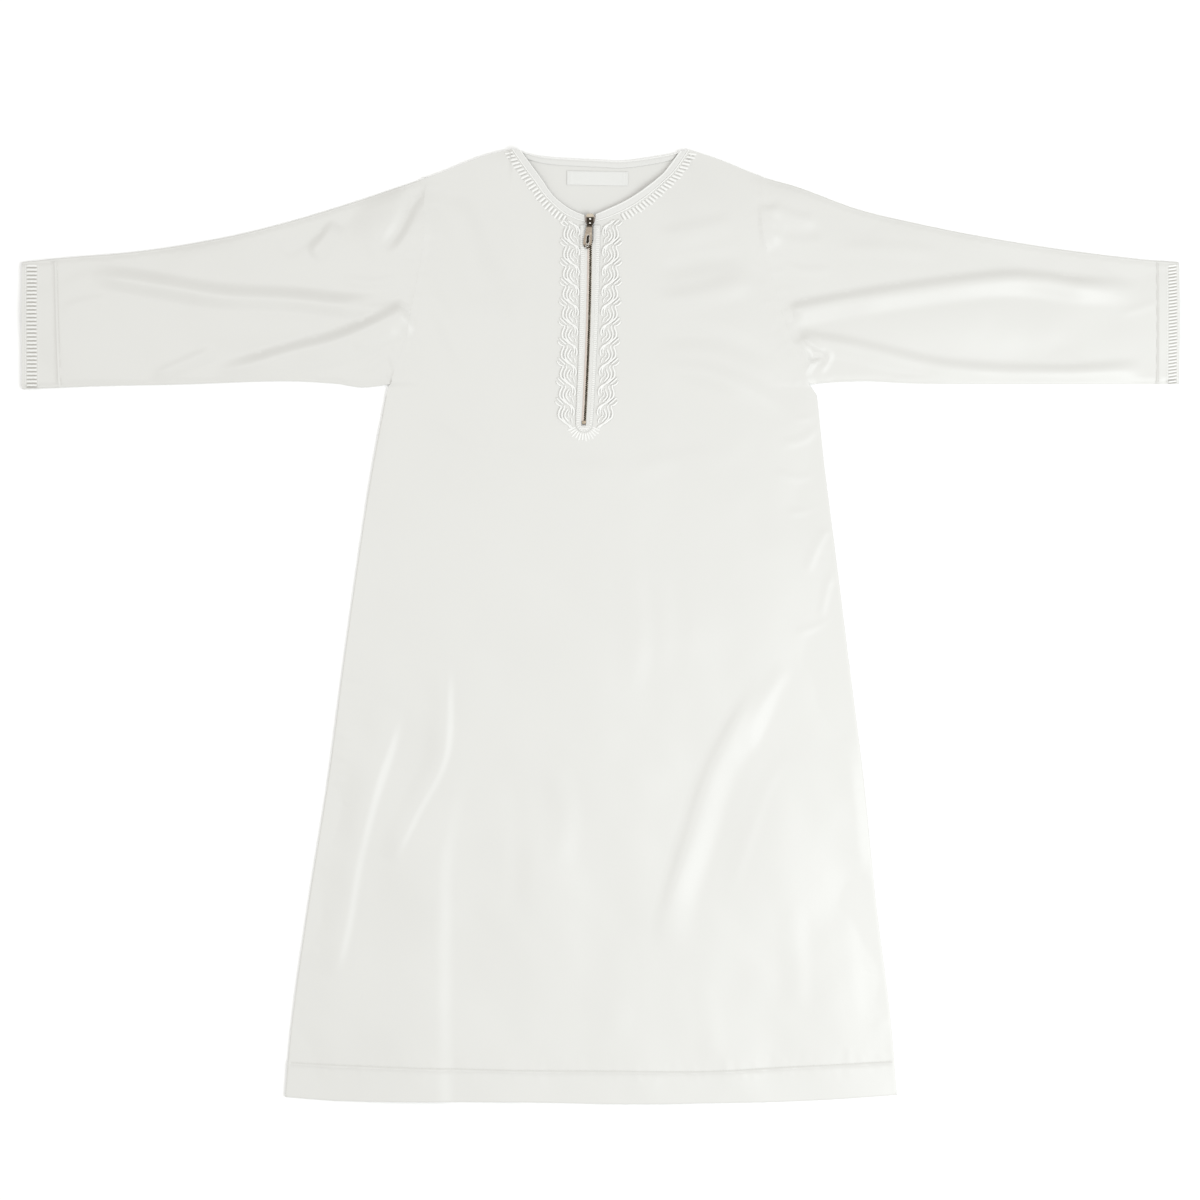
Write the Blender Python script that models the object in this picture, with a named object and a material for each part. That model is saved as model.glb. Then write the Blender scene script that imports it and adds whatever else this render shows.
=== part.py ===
# A child's long white robe (thobe) with a front zip, laid flat with its front up.
# Metres, +Z up, +Y towards the neck, +X to the right of someone who looks at the front.
# The origin is on the floor under the middle of the robe.

import math
from collections import namedtuple

import bmesh
import bpy
from mathutils import Matrix, Vector
from mathutils.geometry import delaunay_2d_cdt

# Driving sizes
LENGTH = 0.880            # high shoulder point to hem
SPAN = 1.0662             # cuff to cuff, as it lies
CLOTH = 0.0012            # wall of the satin, measured straight up
TRIM = 0.0010             # wall of the tape, placket, label and embroidery ground
GAP = 0.0003              # between pieces that touch or are sewn together
ZIP_LIFT = 0.0013         # how far the zip tape and the embroidery hold the front up
HEM_RISE = 0.0004         # the turned hem stands this much above the single cloth
HEM_STEP = 0.0014         # the rise to the hem happens over this length

# Heights above the floor of the layers, from the floor up
BACK_TOP = CLOTH
FRONT_UNDER = BACK_TOP + GAP
ZIP_FRONT_UNDER = FRONT_UNDER + ZIP_LIFT
ZIP_FRONT_TOP = ZIP_FRONT_UNDER + CLOTH
TRIM_UNDER = ZIP_FRONT_TOP + GAP
TRIM_TOP = TRIM_UNDER + TRIM

# The zip. It starts at the neck and drifts to the left on its way down.
ZIP_X = -0.0096
ZIP_DRIFT = 0.0056
ZIP_START = 0.0690
ZIP_END = 0.2534
PLATEAU_HALF = 0.0330     # the front is held up this far to each side of the zip
PLATEAU_RAMP = 0.0240
PLATEAU_END = 0.2740
SLIT_HALF = 0.0021
SLIT_START = 0.0705
SLIT_BOTTOM = 0.2542
CHAIN_HALF = 0.0017
CHAIN_THICK = 0.0026
CHAIN_START = 0.0642
STOP_LENGTH = 0.0028
STOP_HALF = 0.0018
TAPE_HALF = 0.0120
TAPE_START = 0.0700
TAPE_BOTTOM = 0.2600
TAPE_UNDER = BACK_TOP + GAP
PLACKET_INNER = 0.0029
PLACKET_OUTER = 0.0086
PLACKET_START = 0.0722
PLACKET_INNER_END = 0.2556
PLACKET_ARC_CENTRE = 0.2536
PLACKET_ARC_STEPS = 8

# Slider and pull tab
SLIDER_NECK_END = 0.0600
SLIDER_TAIL_END = 0.0706
SLIDER_HALF = 0.0034
SLIDER_TAIL_HALF = 0.0027
SLIDER_SHOULDER = 0.0045  # the slider keeps its full width over this length
SLIDER_CORNER = 0.0012
LOWER_PLATE = (0.0017, 0.0025)
UPPER_PLATE = (0.0057, 0.0066)
WEDGE = (0.0610, 0.0634, 0.0012)
AXIS_DOWN = 0.0670
AXIS_ABOVE_PLATE = 0.00095
STRAP_THICK = 0.0008
STRAP_HALF_WIDTH = 0.0007
STRAP_REACH = 0.0025
STRAP_CORNER = 0.0006
LOWER_PLATE_INSET = 0.0003
LOWER_PLATE_SHORTER = 0.0012
PULL_LENGTH = 0.0253
PULL_THICK = 0.0009
PULL_TIP_UNDER = TRIM_TOP + 0.0005
PULL_LEAN = math.radians(7.0)

# Half width of the pull's outer edge and of its two holes, by distance from the axis
PULL_EDGE = [(-0.0005, 0.0019), (0.0004, 0.0025), (0.0045, 0.0025), (0.0080, 0.0027), (0.0130, 0.0032),
             (0.0180, 0.0039), (0.0215, 0.0038), (0.0240, 0.0026), (0.0253, 0.0010)]
PULL_EYE = [(0.0005, 0.0014), (0.0036, 0.0014), (0.0043, 0.0007)]
PULL_SLOT = [(0.0130, 0.0005), (0.0138, 0.0011), (0.0196, 0.0013), (0.0206, 0.0006)]

# Embroidery on both sides of the zip
MOTIFS = 10
EMBROIDERY_START = 0.0690
EMBROIDERY_END = 0.2571
EMBROIDERY_HALF = 0.0086
EMBROIDERY_OUTER_TOP = 0.0625
EMBROIDERY_TAIL = 0.0010
CORD_HALF = 0.0011
CORD_RISE = 0.0012
CORD_STEP = 0.0030
CORD_ROOM = 0.0002
GROUND_OUTER = (-1.14, -1.00)
GROUND_INNER = (0.92, 1.06)
EMBROIDERY = {"embroidery_left": (-1, 0.0182), "embroidery_right": (1, 0.0203)}

# Satin stitched bars, which stand up from the cloth
BAR_RISE = 0.0008
BAR_END = 0.0012
NECK_BAR_PITCH = 0.0036
NECK_BAR_LENGTH = 0.0092
NECK_BAR_GAP = 0.0010
NECK_BAR_LAST = 0.0380    # the last bar's distance from the middle
NECK_BAR_TURN = (math.radians(6), math.radians(52))
SUNBURST_BARS = 13
SUNBURST_REACH = (0.0098, 0.0152)
SUNBURST_TURN = (math.radians(207), math.radians(333))

# Neck
SHOULDER_START = 0.0835   # the shoulder seam starts this far out, a little beyond the neck's peak
NECK_BAND_THICK = 0.0024
NECK_BAND_SIDE = 0.0016
BACK_BAND_SIDE = 0.0006
BAND_ROUND = 0.2          # share of the band's width that its rounded edge takes
LABEL = (-0.0309, 0.0253, 0.0203, 0.0332)
LABEL_TURN = math.radians(-1.0)

SHARP_ANGLE = math.radians(30)   # edges that turn more than this stay crisp

# Points that carry the folds
FOLD_STEP = 0.019
GRID_STEP = 0.050
POINT_ROOM = 0.0036
FOLD_END = 0.28           # share of a fold's line over which it fades
EDGE_FADE = 0.016         # folds flatten out over this distance to a seam or a folded edge

WHITE = (0.86, 0.85, 0.82, 1.0)
THREAD = (0.90, 0.90, 0.88, 1.0)
TAPE_COLOUR = (0.62, 0.57, 0.50, 1.0)
BRASS = (0.30, 0.24, 0.17, 1.0)

Edge = namedtuple("Edge", "out left right")
Side = namedtuple("Side", "down left right")
Hem = namedtuple("Hem", "x edge stitching")
Neck = namedtuple("Neck", "outer_x outer_down inner_x inner_down")
Strand = namedtuple("Strand", "across along")
Fold = namedtuple("Fold", "height left right path")
Swell = namedtuple("Swell", "x down half_width half_length height")
Cuff = namedtuple("Cuff", "side hem_top hem_bottom bars_in bars_out pitch slant")

# Distances down from the high shoulder to the edge on each side, by distance out from the middle
TOP_EDGE = [
    Edge(0.0825, 0.0000, 0.0009),
    Edge(0.1110, 0.0074, 0.0104),
    Edge(0.1480, 0.0221, 0.0253),
    Edge(0.1830, 0.0341, 0.0355),
    Edge(0.2382, 0.0525, 0.0558),
    Edge(0.2940, 0.0690, 0.0691),
    Edge(0.3490, 0.0820, 0.0802),
    Edge(0.4225, 0.0940, 0.0922),
    Edge(0.4970, 0.1004, 0.1015),
    Edge(0.5331, 0.1041, 0.1041),
]
UNDER_EDGE = [
    Edge(0.1930, 0.2166, 0.2166),
    Edge(0.2200, 0.2196, 0.2147),
    Edge(0.2450, 0.2160, 0.2140),
    Edge(0.2940, 0.2138, 0.2162),
    Edge(0.3856, 0.2166, 0.2166),
    Edge(0.4600, 0.2182, 0.2166),
    Edge(0.5331, 0.2212, 0.2166),
]
# Distances out from the middle, by distance down from the high shoulder
ARMHOLE = [
    Side(0.0260, 0.1617, 0.1488),
    Side(0.0600, 0.1630, 0.1496),
    Side(0.0949, 0.1645, 0.1535),
    Side(0.1493, 0.1746, 0.1665),
    Side(0.1769, 0.1802, 0.1772),
    Side(0.2166, 0.1940, 0.1921),
]
SIDE_SEAM = [
    Side(0.2267, 0.1977, 0.1995),
    Side(0.2958, 0.2106, 0.2069),
    Side(0.3603, 0.2207, 0.2152),
    Side(0.4709, 0.2364, 0.2290),
    Side(0.5815, 0.2511, 0.2428),
    Side(0.6920, 0.2686, 0.2539),
    Side(0.8026, 0.2843, 0.2677),
    Side(0.8720, 0.2907, 0.2732),
]
# Distance down to the hem's lower edge, and to the stitching above it, by x
HEM = [
    Hem(-0.2907, 0.8736, 0.8413),
    Hem(-0.2400, 0.8772, 0.8440),
    Hem(-0.0740, 0.8782, 0.8487),
    Hem(0.0180, 0.8800, 0.8492),
    Hem(0.0917, 0.8791, 0.8496),
    Hem(0.1838, 0.8772, 0.8450),
    Hem(0.2732, 0.8717, 0.8404),
]
# The bound neck edge, from each shoulder to the zip
NECK_LEFT = [
    Neck(-0.0820, 0.0003, -0.0733, 0.0015),
    Neck(-0.0703, 0.0172, -0.0640, 0.0143),
    Neck(-0.0606, 0.0302, -0.0548, 0.0267),
    Neck(-0.0500, 0.0446, -0.0438, 0.0424),
    Neck(-0.0356, 0.0582, -0.0318, 0.0525),
    Neck(-0.0245, 0.0640, -0.0230, 0.0576),
    Neck(-0.0143, 0.0673, -0.0150, 0.0608),
]
NECK_RIGHT = [
    Neck(0.0820, 0.0010, 0.0728, 0.0023),
    Neck(0.0710, 0.0175, 0.0640, 0.0140),
    Neck(0.0623, 0.0270, 0.0558, 0.0240),
    Neck(0.0433, 0.0438, 0.0382, 0.0378),
    Neck(0.0256, 0.0552, 0.0217, 0.0479),
    Neck(0.0088, 0.0630, 0.0060, 0.0553),
    Neck(-0.0052, 0.0673, -0.0041, 0.0599),
]
NECK_BACK = [
    Neck(-0.0718, 0.0028, -0.0668, 0.0096),
    Neck(-0.0558, 0.0064, -0.0540, 0.0128),
    Neck(-0.0373, 0.0083, -0.0366, 0.0148),
    Neck(-0.0005, 0.0101, -0.0005, 0.0166),
    Neck(0.0180, 0.0110, 0.0180, 0.0175),
    Neck(0.0364, 0.0092, 0.0360, 0.0157),
    Neck(0.0548, 0.0064, 0.0535, 0.0128),
    Neck(0.0712, 0.0034, 0.0662, 0.0098),
]
# Cuffs: where the hem's stitching and the bars are, measured in from the cuff's edge
CUFFS = [
    Cuff(-1, 0.0323, 0.0359, 0.0140, 0.0040, 0.0035, 0.0000),
    Cuff(1, 0.0212, 0.0212, 0.0102, 0.0022, 0.0030, 0.0012),
]
# One embroidery motif: across runs from -1 at the outer edge to 1 by the zip, along from 0 to 1
SWEEP = [Strand(-0.95, 0.00), Strand(-0.50, 0.10), Strand(0.00, 0.19), Strand(0.45, 0.30), Strand(0.78, 0.46),
         Strand(0.82, 0.64), Strand(0.70, 0.82), Strand(0.50, 0.97)]
SPIKE = [Strand(-0.95, 0.17), Strand(-0.60, 0.27)]
OUTER_RIB = [Strand(-0.50, 0.37), Strand(-0.72, 0.54), Strand(-0.74, 0.72), Strand(-0.56, 0.90)]
MIDDLE_RIB = [Strand(-0.14, 0.34), Strand(-0.34, 0.54), Strand(-0.36, 0.74), Strand(-0.20, 0.95)]
LEAF = [Strand(0.26, 0.42), Strand(0.04, 0.57), Strand(0.02, 0.74), Strand(0.18, 0.91)]
STRANDS = [SWEEP, SPIKE, OUTER_RIB, MIDDLE_RIB, LEAF]

# Main folds of the front and the sleeves: rise, flank widths on both sides of the ridge, and its line
FOLDS = [
    Fold(0.0056, 0.011, 0.028, [(-0.190, 0.531), (-0.209, 0.584), (-0.224, 0.650), (-0.235, 0.718),
                                (-0.246, 0.762)]),
    Fold(0.0050, 0.020, 0.013, [(-0.143, 0.470), (-0.143, 0.535), (-0.150, 0.570), (-0.172, 0.611),
                                (-0.192, 0.653)]),
    Fold(0.0060, 0.028, 0.010, [(-0.126, 0.560), (-0.136, 0.604), (-0.145, 0.645), (-0.147, 0.690),
                                (-0.147, 0.800), (-0.145, 0.990)]),
    Fold(0.0076, 0.030, 0.013, [(0.156, 0.486), (0.128, 0.526), (0.102, 0.577), (0.084, 0.632),
                                (0.064, 0.698), (0.056, 0.740)]),
    Fold(0.0040, 0.012, 0.022, [(0.180, 0.520), (0.164, 0.560), (0.152, 0.610)]),
    Fold(0.0028, 0.016, 0.020, [(0.176, 0.690), (0.180, 0.740), (0.182, 0.800)]),
    Fold(0.0062, 0.022, 0.011, [(-0.183, 0.160), (-0.230, 0.186), (-0.294, 0.199), (-0.350, 0.203)]),
    Fold(0.0040, 0.018, 0.010, [(-0.330, 0.178), (-0.362, 0.186), (-0.409, 0.202)]),
    Fold(0.0042, 0.010, 0.024, [(-0.458, 0.124), (-0.437, 0.131), (-0.373, 0.137), (-0.307, 0.140),
                                (-0.260, 0.136)]),
    Fold(0.0046, 0.011, 0.019, [(-0.160, 0.034), (-0.176, 0.052), (-0.187, 0.073), (-0.208, 0.093),
                                (-0.226, 0.106)]),
    Fold(0.0030, 0.014, 0.011, [(-0.243, 0.068), (-0.252, 0.084), (-0.268, 0.100)]),
    Fold(0.0058, 0.011, 0.024, [(0.176, 0.150), (0.236, 0.147), (0.291, 0.136), (0.345, 0.128),
                                (0.399, 0.122), (0.439, 0.128), (0.495, 0.137)]),
    Fold(0.0044, 0.010, 0.018, [(0.180, 0.180), (0.210, 0.186), (0.250, 0.191), (0.300, 0.196),
                                (0.350, 0.200)]),
    Fold(0.0030, 0.012, 0.014, [(0.157, 0.050), (0.156, 0.072), (0.162, 0.092)]),
]
# Broad soft rises where air is left between the layers
SWELLS = [
    Swell(-0.115, 0.160, 0.050, 0.110, 0.0022),
    Swell(0.110, 0.190, 0.055, 0.120, 0.0026),
    Swell(0.020, 0.430, 0.110, 0.120, 0.0030),
    Swell(-0.060, 0.640, 0.070, 0.130, 0.0024),
    Swell(0.165, 0.640, 0.070, 0.110, 0.0026),
    Swell(0.080, 0.800, 0.120, 0.090, 0.0016),
    Swell(-0.300, 0.160, 0.110, 0.034, 0.0022),
    Swell(0.330, 0.160, 0.130, 0.036, 0.0024),
]


def place(x, down):
    """Plan point of a distance to the right of the middle and a distance down from the shoulder."""
    return Vector((x, LENGTH / 2 - down))


def value_at(rows, at, column):
    """Read a column of a table at any place, on a smooth curve through its rows."""
    at = min(max(at, rows[0][0]), rows[-1][0])
    low = max(i for i in range(len(rows) - 1) if rows[i][0] <= at)
    high = low + 1

    def slope(i):
        before = max(i - 1, 0)
        after = min(i + 1, len(rows) - 1)
        return (rows[after][column] - rows[before][column]) / (rows[after][0] - rows[before][0])

    width = rows[high][0] - rows[low][0]
    t = (at - rows[low][0]) / width
    start = rows[low][column]
    end = rows[high][column]
    pull = t * (1 - t)
    blend = t * t * (3 - 2 * t)
    return start + (end - start) * blend + width * pull * (slope(low) * (1 - t) - slope(high) * t)


def spread(start, end, count):
    """Evenly spaced values from start to end, both included."""
    return [start + (end - start) * i / (count - 1) for i in range(count)]


def smooth_line(points, step):
    """Points about one step apart on a soft curve through the given points."""
    ends = [points[0], *points, points[-1]]
    line = [points[0]]
    for before, start, end, after in zip(ends, ends[1:], ends[2:], ends[3:]):
        pieces = max(1, round((end - start).length / step))
        for i in range(1, pieces + 1):
            t = i / pieces
            lead = (end - before) * 0.5
            trail = (after - start) * 0.5
            blend = t * t * (3 - 2 * t)
            line.append(start + (end - start) * blend + (lead * (1 - t) - trail * t) * (t * (1 - t)))
    return line


def walk(line, step):
    """Points at equal distances along a line of straight runs."""
    found = []
    left = 0.0
    for start, end in zip(line, line[1:]):
        length = (end - start).length
        while left <= length:
            found.append(start.lerp(end, left / length))
            left += step
        left -= length
    return found


def ease(value):
    """A soft step from 0 to 1."""
    value = min(max(value, 0.0), 1.0)
    return value * value * (3 - 2 * value)


def zip_x(down):
    """Where the middle of the zip is at a distance down from the shoulder."""
    t = max(0.0, (down - ZIP_START) / (ZIP_END - ZIP_START))
    return ZIP_X - ZIP_DRIFT * t * t


def zip_plateau(x, down):
    """1 where the zip and its embroidery hold the front up, and 0 away from them."""
    aside = abs(x - zip_x(down)) - PLATEAU_HALF
    below = down - PLATEAU_END
    return (1 - ease(aside / PLATEAU_RAMP)) * (1 - ease(below / PLATEAU_RAMP))


FOLD_LINES = [(fold, smooth_line([place(*point) for point in fold.path], 0.012)) for fold in FOLDS]


def fold_height(fold, line, point):
    """How high one fold stands at a point: full in the middle of its line, fading at the ends."""
    total = len(line) - 1
    reach = max(fold.left, fold.right)
    best = reach
    found = None
    for i in range(total):
        start = line[i]
        run = line[i + 1] - start
        t = min(max((point - start).dot(run) / run.length_squared, 0.0), 1.0)
        aside = point - (start + run * t)
        if aside.length < best:
            best = aside.length
            flank = fold.left if run.cross(aside) > 0 else fold.right
            found = ((i + t) / total, flank)
    if found is None or best >= found[1]:
        return 0.0
    along, flank = found
    fade = ease(along / FOLD_END) * ease((1 - along) / FOLD_END)
    return fold.height * fade * 0.5 * (1 + math.cos(math.pi * best / flank))


def edge_fade(point, down):
    """0 at the side seams and the sleeves' folded edges, 1 away from them."""
    column = 1 if point.x < 0 else 2
    out = abs(point.x)
    room = EDGE_FADE
    if out > TOP_EDGE[0].out:
        room = down - value_at(TOP_EDGE, out, column)
    if down > ARMHOLE[-1].down:
        room = min(room, value_at(SIDE_SEAM, down, column) - out)
    elif out > UNDER_EDGE[0].out:
        room = min(room, value_at(UNDER_EDGE, out, column) - down)
    return ease(room / EDGE_FADE)


def lift(point):
    """How far the upper layer of cloth stands above where it would lie flat."""
    down = LENGTH / 2 - point.y
    held = zip_plateau(point.x, down)
    free = 0.0
    for swell in SWELLS:
        across = (point.x - swell.x) / swell.half_width
        along = (down - swell.down) / swell.half_length
        free += swell.height * max(0.0, 1 - across * across - along * along) ** 2
    for fold, line in FOLD_LINES:
        free += fold_height(fold, line, point)
    return ZIP_LIFT * held + free * (1 - held) * edge_fade(point, down)


def upper_under(point):
    """Underside of the upper layer of cloth."""
    return FRONT_UNDER + lift(point)


def hem_xs():
    """Places along the hem where its outline has a point, with more where a fold runs over it."""
    places = [HEM[-1].x]
    for row, after in zip(HEM, HEM[1:]):
        places += [row.x, (row.x + after.x) / 2]
    for fold in FOLDS:
        end_x, end_down = fold.path[-1]
        if end_down > LENGTH:
            places = [x for x in places if not -fold.left < x - end_x < fold.right]
            offsets = (-fold.left, -fold.left / 2, 0.0, fold.right / 2, fold.right)
            places += [end_x + offset for offset in offsets]
    return sorted(places)


def body_hem_rise(point):
    down = LENGTH / 2 - point.y
    stitched = value_at(HEM, point.x, 2)
    return HEM_RISE * ease((down - stitched) / HEM_STEP)


def front_top(point):
    return upper_under(point) + CLOTH + body_hem_rise(point)


def cuff_hem_edge(cuff, point):
    """How far in from the cuff's edge its hem is stitched, at a point's height on the sleeve."""
    down = LENGTH / 2 - point.y
    t = min(max((down - TOP_EDGE[-1].left) / (UNDER_EDGE[-1].left - TOP_EDGE[-1].left), 0.0), 1.0)
    return cuff.hem_top + (cuff.hem_bottom - cuff.hem_top) * t


def sleeve_top(cuff, point):
    from_cuff = SPAN / 2 - abs(point.x)
    rise = HEM_RISE * ease((cuff_hem_edge(cuff, point) - from_cuff) / HEM_STEP)
    return upper_under(point) + CLOTH + rise


def inside(outline, point):
    """True where a plan point lies inside a closed outline."""
    found = False
    previous = outline[-1]
    for corner in outline:
        if (corner.y > point.y) != (previous.y > point.y):
            cross = previous.x + (point.y - previous.y) * (corner.x - previous.x) / (corner.y - previous.y)
            if point.x < cross:
                found = not found
        previous = corner
    return found


def edge_distance(outline, point):
    """Shortest plan distance from a point to a closed outline."""
    best = math.inf
    previous = outline[-1]
    for corner in outline:
        run = corner - previous
        if run.length_squared > 0:
            t = min(max((point - previous).dot(run) / run.length_squared, 0.0), 1.0)
            best = min(best, (point - previous - run * t).length)
        previous = corner
    return best


def keep_points(outline, points, room, taken=()):
    """The points inside an outline that keep some room to its edge and to the points already taken."""
    kept = []
    for point in points:
        crowded = any((point - other).length < room for other in kept)
        crowded = crowded or any((point - other[0]).length < room for other in taken)
        if not crowded and inside(outline, point) and edge_distance(outline, point) > room * 0.6:
            kept.append(point)
    return kept


def form_points(outline, taken=()):
    """Points that carry the folds, the rise at the zip and the soft swells of an upper layer."""
    wanted = []
    for fold, line in FOLD_LINES:
        stations = smooth_line([place(*point) for point in fold.path], FOLD_STEP)
        for i, station in enumerate(stations):
            run = stations[min(i + 1, len(stations) - 1)] - stations[max(i - 1, 0)]
            side = Vector((-run.y, run.x)).normalized()
            for offset in (0.0, fold.left * 0.5, -fold.right * 0.5, fold.left, -fold.right):
                wanted.append(station + side * offset)
    for down in spread(0.012, PLATEAU_END, 8):
        for aside in (-PLATEAU_HALF - PLATEAU_RAMP, -PLATEAU_HALF, PLATEAU_HALF, PLATEAU_HALF + PLATEAU_RAMP):
            wanted.append(place(zip_x(down) + aside, down))
    for aside in spread(-PLATEAU_HALF, PLATEAU_HALF, 3):
        for down in (PLATEAU_END, PLATEAU_END + PLATEAU_RAMP):
            wanted.append(place(zip_x(down) + aside, down))
    kept = keep_points(outline, wanted, POINT_ROOM, taken)
    low = Vector((min(p.x for p in outline), min(p.y for p in outline)))
    high = Vector((max(p.x for p in outline), max(p.y for p in outline)))
    across = max(2, round((high.x - low.x) / GRID_STEP))
    along = max(2, round((high.y - low.y) / GRID_STEP))
    grid = []
    for row in range(along):
        for column in range(across):
            shift = 0.25 if row % 2 else 0.75
            grid.append(Vector((low.x + (column + shift) * (high.x - low.x) / across,
                                low.y + (row + 0.5) * (high.y - low.y) / along)))
    taken_now = [(point, 0.0) for point in kept] + list(taken)
    return kept + keep_points(outline, grid, GRID_STEP * 0.33, taken_now)


def bar_row(starts, ends):
    """A row of raised bars: a valley on each side of a ridge, each as two points with their extra rise."""
    row = []
    for i, (start, end) in enumerate(zip(starts, ends)):
        inward = (end - start).normalized() * BAR_END
        if i % 2:
            row.append(((start + inward, BAR_RISE), (end - inward, BAR_RISE)))
        else:
            row.append(((start, 0.0), (end, 0.0)))
    return row


def place_bars(outline, bars):
    """The points of the bars that lie inside an outline, and the runs that keep each bar's line."""
    kept = [bar for bar in bars if all(inside(outline, spot) for spot, _ in bar)]
    return [entry for bar in kept for entry in bar], [(2 * i, 2 * i + 1) for i in range(len(kept))]


def sheet(bm, outline, points, height, lines=()):
    """Triangles over the inside of an outline, at the height that a function gives; returns its rim.

    Points come with an extra rise, and lines are runs of their indices that stay edges.
    """
    plan = list(outline) + [point for point, _ in points]
    rise = [0.0] * len(outline) + [extra for _, extra in points]
    count = len(outline)
    edges = [(i, (i + 1) % count) for i in range(count)]
    for line in lines:
        edges += [(count + a, count + b) for a, b in zip(line, line[1:])]
    places, _, faces, sources, _, _ = delaunay_2d_cdt(plan, edges, [], 1, 1e-7)
    verts = []
    rim = [None] * count
    for spot, source in zip(places, sources):
        vert = bm.verts.new((spot.x, spot.y, height(spot) + (rise[source[0]] if source else 0.0)))
        verts.append(vert)
        if source and source[0] < count:
            rim[source[0]] = vert
    for face in faces:
        middle = sum((places[i] for i in face), Vector((0.0, 0.0))) / len(face)
        if inside(outline, middle):
            bm.faces.new([verts[i] for i in face])
    for vert in [v for v in verts if not v.link_faces]:
        bm.verts.remove(vert)
    return rim


def join_rims(bm, lower, upper, first, last):
    """Faces between matching points of two rims."""
    count = len(lower)
    for i in range(first, last):
        j = (i + 1) % count
        bm.faces.new((lower[i], lower[j], upper[j], upper[i]))


def finish(name, bm, colour, metallic=0.0, roughness=0.55, smooth=True):
    """Turn gathered faces into one named object with its own material."""
    bmesh.ops.triangulate(bm, faces=[face for face in bm.faces if len(face.verts) > 4])
    bmesh.ops.recalc_face_normals(bm, faces=bm.faces)
    mesh = bpy.data.meshes.new(name)
    bm.to_mesh(mesh)
    bm.free()
    if smooth:
        mesh.shade_smooth()
        mesh.set_sharp_from_angle(angle=SHARP_ANGLE)
    piece = bpy.data.objects.new(name, mesh)
    bpy.context.collection.objects.link(piece)
    material = bpy.data.materials.new(name + "_finish")
    material.use_nodes = True
    shader = material.node_tree.nodes["Principled BSDF"]
    shader.inputs["Base Color"].default_value = colour
    shader.inputs["Metallic"].default_value = metallic
    shader.inputs["Roughness"].default_value = roughness
    mesh.materials.append(material)
    return piece


def wall(name, outline, under, over, colour, under_points=(), over_points=(), lines=(), **look):
    """One closed sheet of cloth between two height functions."""
    bm = bmesh.new()
    lower = sheet(bm, outline, [(point, 0.0) for point in under_points], under)
    upper = sheet(bm, outline, list(over_points), over, lines)
    join_rims(bm, lower, upper, 0, len(outline))
    return finish(name, bm, colour, **look)


def plate(name, outline, under, top, colour, **look):
    """A flat piece of even thickness."""
    return wall(name, outline, lambda point: under, lambda point: top, colour, **look)


def body_edge(side, downs, rows, trim):
    """Points of an armhole or a side seam, from the top down."""
    column = 1 if side < 0 else 2
    return [place(side * (value_at(rows, down, column) - trim), down) for down in downs]


def shoulder(side, start, count):
    """Points of the shoulder seam, from the neck to the armhole."""
    column = 1 if side < 0 else 2
    end = value_at(ARMHOLE, ARMHOLE[0].down, column) - GAP / 2
    return [place(side * out, value_at(TOP_EDGE, out, column)) for out in spread(start, end, count)]


def neck_side(rows, steps):
    """Matching outer and inner points along a neck band."""
    outer = []
    inner = []
    stations = [(i, *row) for i, row in enumerate(rows)]
    for at in spread(0, len(rows) - 1, (len(rows) - 1) * steps + 1):
        outer.append(place(value_at(stations, at, 1), value_at(stations, at, 2)))
        inner.append(place(value_at(stations, at, 3), value_at(stations, at, 4)))
    return outer, inner


def neckline(rows):
    """The front's edge along a neck band, a gap outside it, from the shoulder to the zip."""
    outer, inner = neck_side(rows, 2)
    return [a + (a - b).normalized() * GAP for a, b in zip(outer, inner)]


ARMHOLE_DOWNS = [row.down for row in ARMHOLE]
SEAM_DOWNS = spread(SIDE_SEAM[0].down, SIDE_SEAM[-1].down, 14)


def body_outline(neck_points):
    """Outline of a body panel, counter-clockwise from the hem's left end, with the given neck edge."""
    hem = [place(x, value_at(HEM, x, 1)) for x in hem_xs()]
    right = body_edge(1, SEAM_DOWNS, SIDE_SEAM, 0.0)[::-1]
    right += body_edge(1, ARMHOLE_DOWNS, ARMHOLE, GAP / 2)[::-1][:-1]
    left = body_edge(-1, ARMHOLE_DOWNS, ARMHOLE, GAP / 2)[1:]
    left += body_edge(-1, SEAM_DOWNS, SIDE_SEAM, 0.0)
    right_shoulder = shoulder(1, SHOULDER_START, 5)[::-1]
    left_shoulder = shoulder(-1, SHOULDER_START, 5)
    return hem[1:-1] + right + right_shoulder + neck_points + left_shoulder + left


def front_outline():
    """The front's outline, with the slit for the zip."""
    right = neckline(NECK_RIGHT)
    left = neckline(NECK_LEFT)[::-1]
    downs = spread(SLIT_START, SLIT_BOTTOM, 8)
    slit = [place(zip_x(down) + SLIT_HALF, down) for down in downs]
    slit += [place(zip_x(down) - SLIT_HALF, down) for down in downs[::-1]]
    return body_outline(right + slit + left)


def neck_bars(rows, side):
    """Raised bars that ray out from the outer edge of a neck band, and stop above the embroidery."""
    edge = walk(smooth_line(neckline(rows), NECK_BAR_PITCH), NECK_BAR_PITCH / 2)
    starts = []
    ends = []
    for spot in edge[1:]:
        if abs(spot.x) > NECK_BAR_LAST:
            turn = NECK_BAR_TURN[0] + (NECK_BAR_TURN[1] - NECK_BAR_TURN[0]) * (
                (edge[0].x - spot.x) / (edge[0].x - side * NECK_BAR_LAST))
            ray = Vector((side * math.cos(turn), -math.sin(turn)))
            starts.append(spot + ray * NECK_BAR_GAP)
            ends.append(spot + ray * (NECK_BAR_GAP + NECK_BAR_LENGTH))
    return bar_row(starts, ends)


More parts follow.
